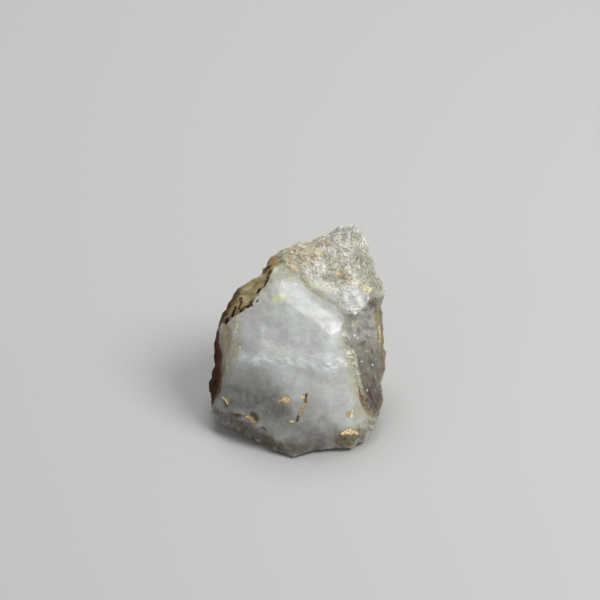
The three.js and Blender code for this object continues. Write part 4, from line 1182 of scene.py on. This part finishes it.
def broken_ground():
    recipe, entry, leave = new_group("broken ground", GROUND_INPUTS, GROUND_OUTPUTS)
    where = entry["Place"]
    wide, fine = veils(recipe, where, 5.0, 1.2), veils(recipe, where, 1.4, 1.3)
    tint = recipe.lay(BROKEN_SHADE, BROKEN_PALE, recipe.blend(0.4, wide, fine), 0.38, 0.62)
    tint = recipe.lay(tint, BROKEN_SMOKE, recipe.noise(where, 0.12, 3.0, 0.5), 0.44, 0.6, 0.7)
    tint = recipe.lay(tint, BROKEN_VEIL, fine, 0.58, 0.7, 0.4)
    recipe.feed(leave["Colour"], iron(recipe, where, tint, 0.45, 0.42, 3.0))
    bowls = recipe.math("POWER", recipe.cells(where, 0.9), 2.0)
    relief = recipe.noise(where, 2.0, 4.0, 0.55)
    recipe.feed(leave["Height"], recipe.math("MULTIPLY_ADD", bowls, 1.6, relief))
    rough = recipe.span(recipe.noise(where, 1.1, 4.0, 0.6), 0.35, 0.65, 0.25, 0.55)
    recipe.feed(leave["Roughness"], rough)


def whole_stone():
    """Lays every ground in its place, with soft wandering borders."""
    recipe, _, leave = new_group("whole stone", [], GROUND_OUTPUTS + [("Coat", "value")])
    place = recipe.group("place on stone")
    where = place["Place"]
    stray = recipe.math("SUBTRACT", recipe.noise(where, 1.1, 4.0, 0.62), 0.5)
    front = recipe.attribute("front")
    low = recipe.span(place["Up"], 1.0, -4.0, 0.0, 0.7)

    def mask(name, softness, wander, softer_below=0.0):
        depth = recipe.math("MULTIPLY_ADD", stray, wander, recipe.attribute(name))
        softness = recipe.blend(front, 0.12, softness)
        softness = recipe.math("MULTIPLY_ADD", low, softer_below, softness)
        return recipe.span(depth, recipe.math("MULTIPLY", softness, -1.0), softness)

    on_rind = mask("rind", 0.3, 0.8, 0.4)
    crust = lay_ground(recipe, "prehnite ground", place)
    base = lay_ground(recipe, "broken ground", place)
    tint, height, rough, coat = base["Colour"], base["Height"], base["Roughness"], 0.15
    for share, layer, layer_coat in (
        (recipe.span(front, 0.25, 0.75), lay_ground(recipe, "milky ground", place), 0.18),
        (mask("flank", 0.3, 1.2), lay_ground(recipe, "smoky ground", place), 0.15),
        (on_rind, lay_ground(recipe, "rind ground", place), 0.0),
        (mask("crust", 0.6, 1.4), crust, 0.3),
    ):
        tint = recipe.mix(share, tint, layer["Colour"])
        height = recipe.blend(share, height, layer["Height"])
        rough = recipe.blend(share, rough, layer["Roughness"])
        coat = recipe.blend(share, coat, layer_coat)
    tint = recipe.lay(tint, crust["Colour"], recipe.attribute("seam"), -0.25, 0.1)
    tint = recipe.mix(1.0, tint, GROUND_SHADE, "MULTIPLY")
    marks = recipe.group("small marks", Place=where, Colour=tint)
    # Painted shade darkens the creases and a painted highlight lightens the edges, by how hollow the
    # surface is.
    hollow = recipe.attribute("hollow")
    tint = recipe.lay(marks["Colour"], CREASE_SHADE, hollow, 0.52, 0.85, 0.24)
    tint = recipe.lay(tint, EDGE_LIGHT, hollow, 0.46, 0.2, recipe.blend(on_rind, 0.24, 0.04))
    recipe.feed(leave["Colour"], tint)
    recipe.feed(leave["Height"], recipe.math("MULTIPLY_ADD", marks["Mask"], -0.3, height))
    recipe.feed(leave["Roughness"], recipe.blend(marks["Mask"], rough, 0.7))
    no_mark = recipe.math("SUBTRACT", 1.0, marks["Mask"])
    recipe.feed(leave["Coat"], recipe.math("MULTIPLY", coat, no_mark))


# ---------------------------------------------------------------------------------------------
# Materials

QUARTZ_IOR = 1.544
PREHNITE_IOR = 1.63
RIND_IOR = 1.5

# Each material's shader values that are the same all over it.
STONE_SHADERS = {
    "milky_quartz": {
        "IOR": QUARTZ_IOR,
        "Subsurface Weight": 0.5,
        "Subsurface Radius": (1.0, 1.0, 1.0),
        "Subsurface Scale": 1.8 * MM,
        "Coat Roughness": 0.24,
    },
    "smoky_quartz": {
        "IOR": QUARTZ_IOR,
        "Transmission Weight": 0.1,
        "Subsurface Weight": 0.3,
        "Subsurface Radius": (1.1, 1.0, 0.9),
        "Subsurface Scale": 1.4 * MM,
        "Coat Roughness": 0.14,
    },
    "prehnite_crust": {
        "IOR": PREHNITE_IOR,
        "Subsurface Weight": 0.7,
        "Subsurface Radius": (1.0, 1.0, 0.9),
        "Subsurface Scale": 1.4 * MM,
        "Coat Roughness": 0.2,
    },
    "iron_rind": {
        "IOR": RIND_IOR,
        "Specular IOR Level": 0.1,
        "Subsurface Weight": 0.1,
        "Subsurface Radius": (1.0, 0.7, 0.4),
        "Subsurface Scale": 1.0 * MM,
        "Coat Roughness": 0.2,
    },
    "broken_quartz": {
        "IOR": QUARTZ_IOR,
        "Subsurface Weight": 0.2,
        "Subsurface Radius": (1.0, 0.97, 0.92),
        "Subsurface Scale": 1.0 * MM,
        "Coat Roughness": 0.1,
    },
}
BUMP_DEPTHS = {
    "milky_quartz": 0.11,
    "smoky_quartz": 0.18,
    "prehnite_crust": 0.1,
    "iron_rind": 0.24,
    "broken_quartz": 0.2,
}
GRAIN_SHADER = {
    "IOR": PREHNITE_IOR,
    "Subsurface Weight": 0.7,
    "Subsurface Radius": (1.0, 1.0, 0.95),
    "Subsurface Scale": 1.6 * MM,
    "Coat Weight": 0.3,
    "Coat Roughness": 0.1,
}
GRAIN_BUMP_DEPTH = 0.03
# The materials that lie over one another, and the ground whose depth places each.
MATERIAL_GROUNDS = (
    ("smoky_quartz", "flank"),
    ("iron_rind", "rind"),
    ("prehnite_crust", "crust"),
    ("prehnite_crust", "seam"),
)


def new_material(name, slots):
    """A material with a recipe, and its shader's constant values set."""
    material = bpy.data.materials.new(name)
    material.use_nodes = True
    shader = material.node_tree.nodes["Principled BSDF"]
    for title, value in slots.items():
        shader.inputs[title].default_value = value
    return material, Recipe(material.node_tree), shader.inputs


def add_bump(recipe, slots, height, depth):
    bump = recipe.node("ShaderNodeBump")
    bump.inputs["Distance"].default_value = depth * MM
    recipe.feed(bump.inputs["Height"], height)
    recipe.feed(slots["Normal"], bump.outputs[0])


def stone_material(name, slots):
    """The whole stone's pattern on a shader of its own, which bends and soaks up light its way."""
    material, recipe, shader = new_material(name, slots)
    pattern = recipe.group("whole stone")
    recipe.feed(shader["Base Color"], pattern["Colour"])
    recipe.feed(shader["Roughness"], pattern["Roughness"])
    recipe.feed(shader["Coat Weight"], pattern["Coat"])
    add_bump(recipe, shader, pattern["Height"], BUMP_DEPTHS[name])
    return material


def prehnite_grain():
    material, recipe, shader = new_material("prehnite_grain", GRAIN_SHADER)
    place = recipe.group("place on stone")
    ground = lay_ground(recipe, "prehnite ground", place)
    tint = recipe.mix(1.0, ground["Colour"], GROUND_SHADE, "MULTIPLY")
    marks = recipe.group("small marks", Place=place["Place"], Colour=tint)
    recipe.feed(shader["Base Color"], marks["Colour"])
    recipe.feed(shader["Roughness"], recipe.math("MULTIPLY", ground["Roughness"], 0.7))
    add_bump(recipe, shader, recipe.noise(place["Place"], 9.0, 3.0, 0.5), GRAIN_BUMP_DEPTH)
    return material


def share_out_materials(stone):
    """Gives every face the material of the ground it lies in."""
    mesh = stone.data
    mesh.materials.clear()
    for name, slots in STONE_SHADERS.items():
        mesh.materials.append(stone_material(name, slots))
    order = list(STONE_SHADERS)
    corners = np.empty(len(mesh.loops), dtype=np.int64)
    mesh.loops.foreach_get("vertex_index", corners)
    starts = np.empty(len(mesh.polygons), dtype=np.int64)
    mesh.polygons.foreach_get("loop_start", starts)
    first = corners[starts]

    def at_faces(name):
        values = np.empty(len(mesh.vertices), dtype=np.float32)
        mesh.attributes[name].data.foreach_get("value", values)
        return values[first]

    chosen = np.full(len(mesh.polygons), order.index("milky_quartz"))
    chosen[at_faces("front") < 0.5] = order.index("broken_quartz")
    for name, ground in MATERIAL_GROUNDS:
        chosen[at_faces(ground) > 0.0] = order.index(name)
    mesh.polygons.foreach_set("material_index", chosen.astype(np.int32))
    mesh.polygons.foreach_set("use_smooth", np.ones(len(mesh.polygons), dtype=bool))
    mesh.update()


# ---------------------------------------------------------------------------------------------
# The crust's loose grains


def grain_tree():
    """Scatters small angular grains over the crust and the seam."""
    inputs = [
        ("Stone", "geometry", None),
        ("Grain Size", "value", GRAIN_SIZE * MM),
        ("Grains per Area", "value", GRAINS_PER_SQUARE_MM / MM**2),
        ("Seed", "whole number", GRAIN_SEED),
        ("Grain Material", "material", None),
    ]
    outputs = [("Grains", "geometry")]
    recipe, entry, leave = new_group("prehnite grains", inputs, outputs, "GeometryNodeTree")
    size = entry["Grain Size"]

    def depth(name):
        sources = {"Name": name}
        made = recipe.fed("GeometryNodeInputNamedAttribute", sources, data_type="FLOAT")
        return made["Attribute"]

    def span(*sources):
        return recipe.span(*sources, smooth=False)

    def random(kind, low, high, seed):
        made = recipe.node("FunctionNodeRandomValue", data_type=kind)
        limits = [socket for socket in made.inputs if socket.enabled]
        limits[0].default_value = low
        limits[1].default_value = high
        made.inputs["Seed"].default_value = seed
        return next(socket for socket in made.outputs if socket.enabled)

    off_ledge = span(depth("ledge"), 0.0, 0.7, 1.0, 0.08)
    on_crust = recipe.math("MULTIPLY", span(depth("crust"), -0.9, 0.5, 0.0, 0.75), off_ledge)
    spread = recipe.fed(
        "GeometryNodeDistributePointsOnFaces",
        {
            "Mesh": entry["Stone"],
            "Distance Min": recipe.math("MULTIPLY", size, 0.55),
            "Density Max": entry["Grains per Area"],
            "Density Factor": recipe.math("MAXIMUM", on_crust, span(depth("seam"), -0.25, 0.15)),
            "Seed": entry["Seed"],
        },
        distribute_method="POISSON",
    )

    radius = recipe.math("MULTIPLY", size, BALL_RADIUS)
    ball = recipe.fed("GeometryNodeMeshIcoSphere", {"Subdivisions": 1, "Radius": radius})
    sides = recipe.joined(*(recipe.math("MULTIPLY", size, part) for part in BLOCK_SIDES))
    block = recipe.fed("GeometryNodeMeshCube", {"Size": sides})
    shapes = recipe.node("GeometryNodeGeometryToInstance")
    for shape in (block, ball):
        recipe.feed(shapes.inputs[0], shape["Mesh"])

    turn = random("FLOAT_VECTOR", (-math.pi,) * 3, (math.pi,) * 3, 3)
    form = random("FLOAT_VECTOR", (0.75, 0.6, 0.5), (1.25, 1.05, 0.95), 5)
    growth = recipe.math("POWER", random("FLOAT", 0.0, 1.0, 7), 2.2)
    grains = recipe.fed(
        "GeometryNodeInstanceOnPoints",
        {
            "Points": spread["Points"],
            "Instance": shapes.outputs[0],
            "Pick Instance": True,
            "Rotation": turn,
            "Scale": recipe.scaled(form, span(growth, 0.0, 1.0, 0.5, 1.25)),
        },
    )
    real = recipe.fed("GeometryNodeRealizeInstances", {"Geometry": grains["Instances"]})
    paint = {"Geometry": real["Geometry"], "Material": entry["Grain Material"]}
    recipe.feed(leave["Grains"], recipe.fed("GeometryNodeSetMaterial", paint)["Geometry"])
    return recipe.tree


def loose_grains(stone, material):
    """The grains as a plain mesh of their own."""
    tree = grain_tree()
    carrier = bpy.data.objects.new("prehnite_grains", stone.data.copy())
    bpy.context.scene.collection.objects.link(carrier)
    scatter = carrier.modifiers.new("scatter", "NODES")
    scatter.node_group = tree
    for item in tree.interface.items_tree:
        if item.item_type == "SOCKET" and item.name == "Grain Material":
            scatter[item.identifier] = material
    depsgraph = bpy.context.evaluated_depsgraph_get()
    plain = bpy.data.meshes.new_from_object(carrier.evaluated_get(depsgraph))
    carrier.modifiers.clear()
    carrier.data = plain
    points = mesh_points(plain)
    points[:, 2] = np.maximum(points[:, 2], 0.0)
    set_points(plain, points)
    plain.polygons.foreach_set("use_smooth", np.zeros(len(plain.polygons), dtype=bool))
    plain.update()
    return carrier


# ---------------------------------------------------------------------------------------------
# Floor, lights and camera

FLOOR_REACH = 1.5
FLOOR_GREY = (0.48, 0.48, 0.47, 1.0)
FLOOR_ROUGHNESS = 0.7
SKY_TINT = (0.98, 0.99, 1.0, 1.0)
SKY_STRENGTH = 0.35
LIT_POINT = (0.0, 0.0, 0.018)
# Each light's place in metres, size and watts.
LIGHTS = {
    "key": ((0.36, -0.10, 0.46), 0.3, 2.5),
    "top": ((-0.02, 0.30, 0.50), 0.35, 1.35),
    "fill": ((-0.5, -0.45, 0.3), 0.5, 0.28),
}
FRAME_WIDTH = 120.0
CAMERA_LENS = 400.0
CAMERA_SENSOR = 36.0
CAMERA_TARGET = (0.6, 8.0)


def pale_floor():
    mesh = bpy.data.meshes.new("floor")
    signs = ((-1, -1), (1, -1), (1, 1), (-1, 1))
    corners = [(FLOOR_REACH * across, FLOOR_REACH * along, 0) for across, along in signs]
    mesh.from_pydata(corners, [], [(0, 1, 2, 3)])
    floor = bpy.data.objects.new("floor", mesh)
    bpy.context.scene.collection.objects.link(floor)
    finish = {"Base Color": FLOOR_GREY, "Roughness": FLOOR_ROUGHNESS}
    material, _, _ = new_material("pale_floor", finish)
    mesh.materials.append(material)


def soft_light(name, place, size, watts):
    light = bpy.data.lights.new(name, "AREA")
    light.shape = "DISK"
    light.size = size
    light.energy = watts
    lamp = bpy.data.objects.new(name, light)
    lamp.location = place
    aim = Vector(LIT_POINT) - Vector(place)
    lamp.rotation_euler = aim.to_track_quat("-Z", "Y").to_euler()
    bpy.context.scene.collection.objects.link(lamp)


def studio():
    for name, (place, size, watts) in LIGHTS.items():
        soft_light(name, place, size, watts)
    world = bpy.data.worlds.new("studio")
    bpy.context.scene.world = world
    world.use_nodes = True
    background = world.node_tree.nodes["Background"]
    background.inputs["Color"].default_value = SKY_TINT
    background.inputs["Strength"].default_value = SKY_STRENGTH
    bpy.context.scene.view_settings.view_transform = "Standard"


def long_camera():
    """A long lens square to the leaning front. The frame is FRAME_WIDTH wide at the stone."""
    across, up = CAMERA_TARGET
    target = Vector((
        across - STONE_MIDDLE[0],
        up * UP_THE_LEAN[1] - STONE_MIDDLE[1],
        LEAN_ORIGIN_HEIGHT + up * UP_THE_LEAN[2],
    ))
    distance = FRAME_WIDTH * CAMERA_LENS / CAMERA_SENSOR
    data = bpy.data.cameras.new("camera")
    data.lens = CAMERA_LENS
    data.sensor_width = CAMERA_SENSOR
    data.clip_start = 0.01
    camera = bpy.data.objects.new("camera", data)
    camera.location = (target + Vector(OUT_OF_THE_LEAN) * distance) * MM
    camera.rotation_euler = Vector(OUT_OF_THE_LEAN).to_track_quat("Z", "Y").to_euler()
    bpy.context.scene.collection.objects.link(camera)
    bpy.context.scene.camera = camera


# ---------------------------------------------------------------------------------------------
# The scene

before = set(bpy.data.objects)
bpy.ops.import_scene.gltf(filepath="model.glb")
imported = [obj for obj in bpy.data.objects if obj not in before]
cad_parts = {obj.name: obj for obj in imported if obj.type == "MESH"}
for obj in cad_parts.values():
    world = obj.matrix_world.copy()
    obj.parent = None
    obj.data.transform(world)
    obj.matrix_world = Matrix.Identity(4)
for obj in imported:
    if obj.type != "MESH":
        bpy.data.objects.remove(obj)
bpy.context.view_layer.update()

long_camera()
pale_floor()
studio()
for build_group in (
    place_group,
    marks_group,
    patch_group,
    border_group,
    veil_group,
    grain_group,
    iron_group,
    milky_ground,
    smoky_ground,
    prehnite_ground,
    rind_ground,
    broken_ground,
    whole_stone,
):
    build_group()

stone = fine_copy(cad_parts["quartz_with_prehnite"])
raise_surface(stone)
share_out_materials(stone)
grains = loose_grains(stone, prehnite_grain())

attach(stone, "root")
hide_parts("quartz_with_prehnite")
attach(grains, "root")
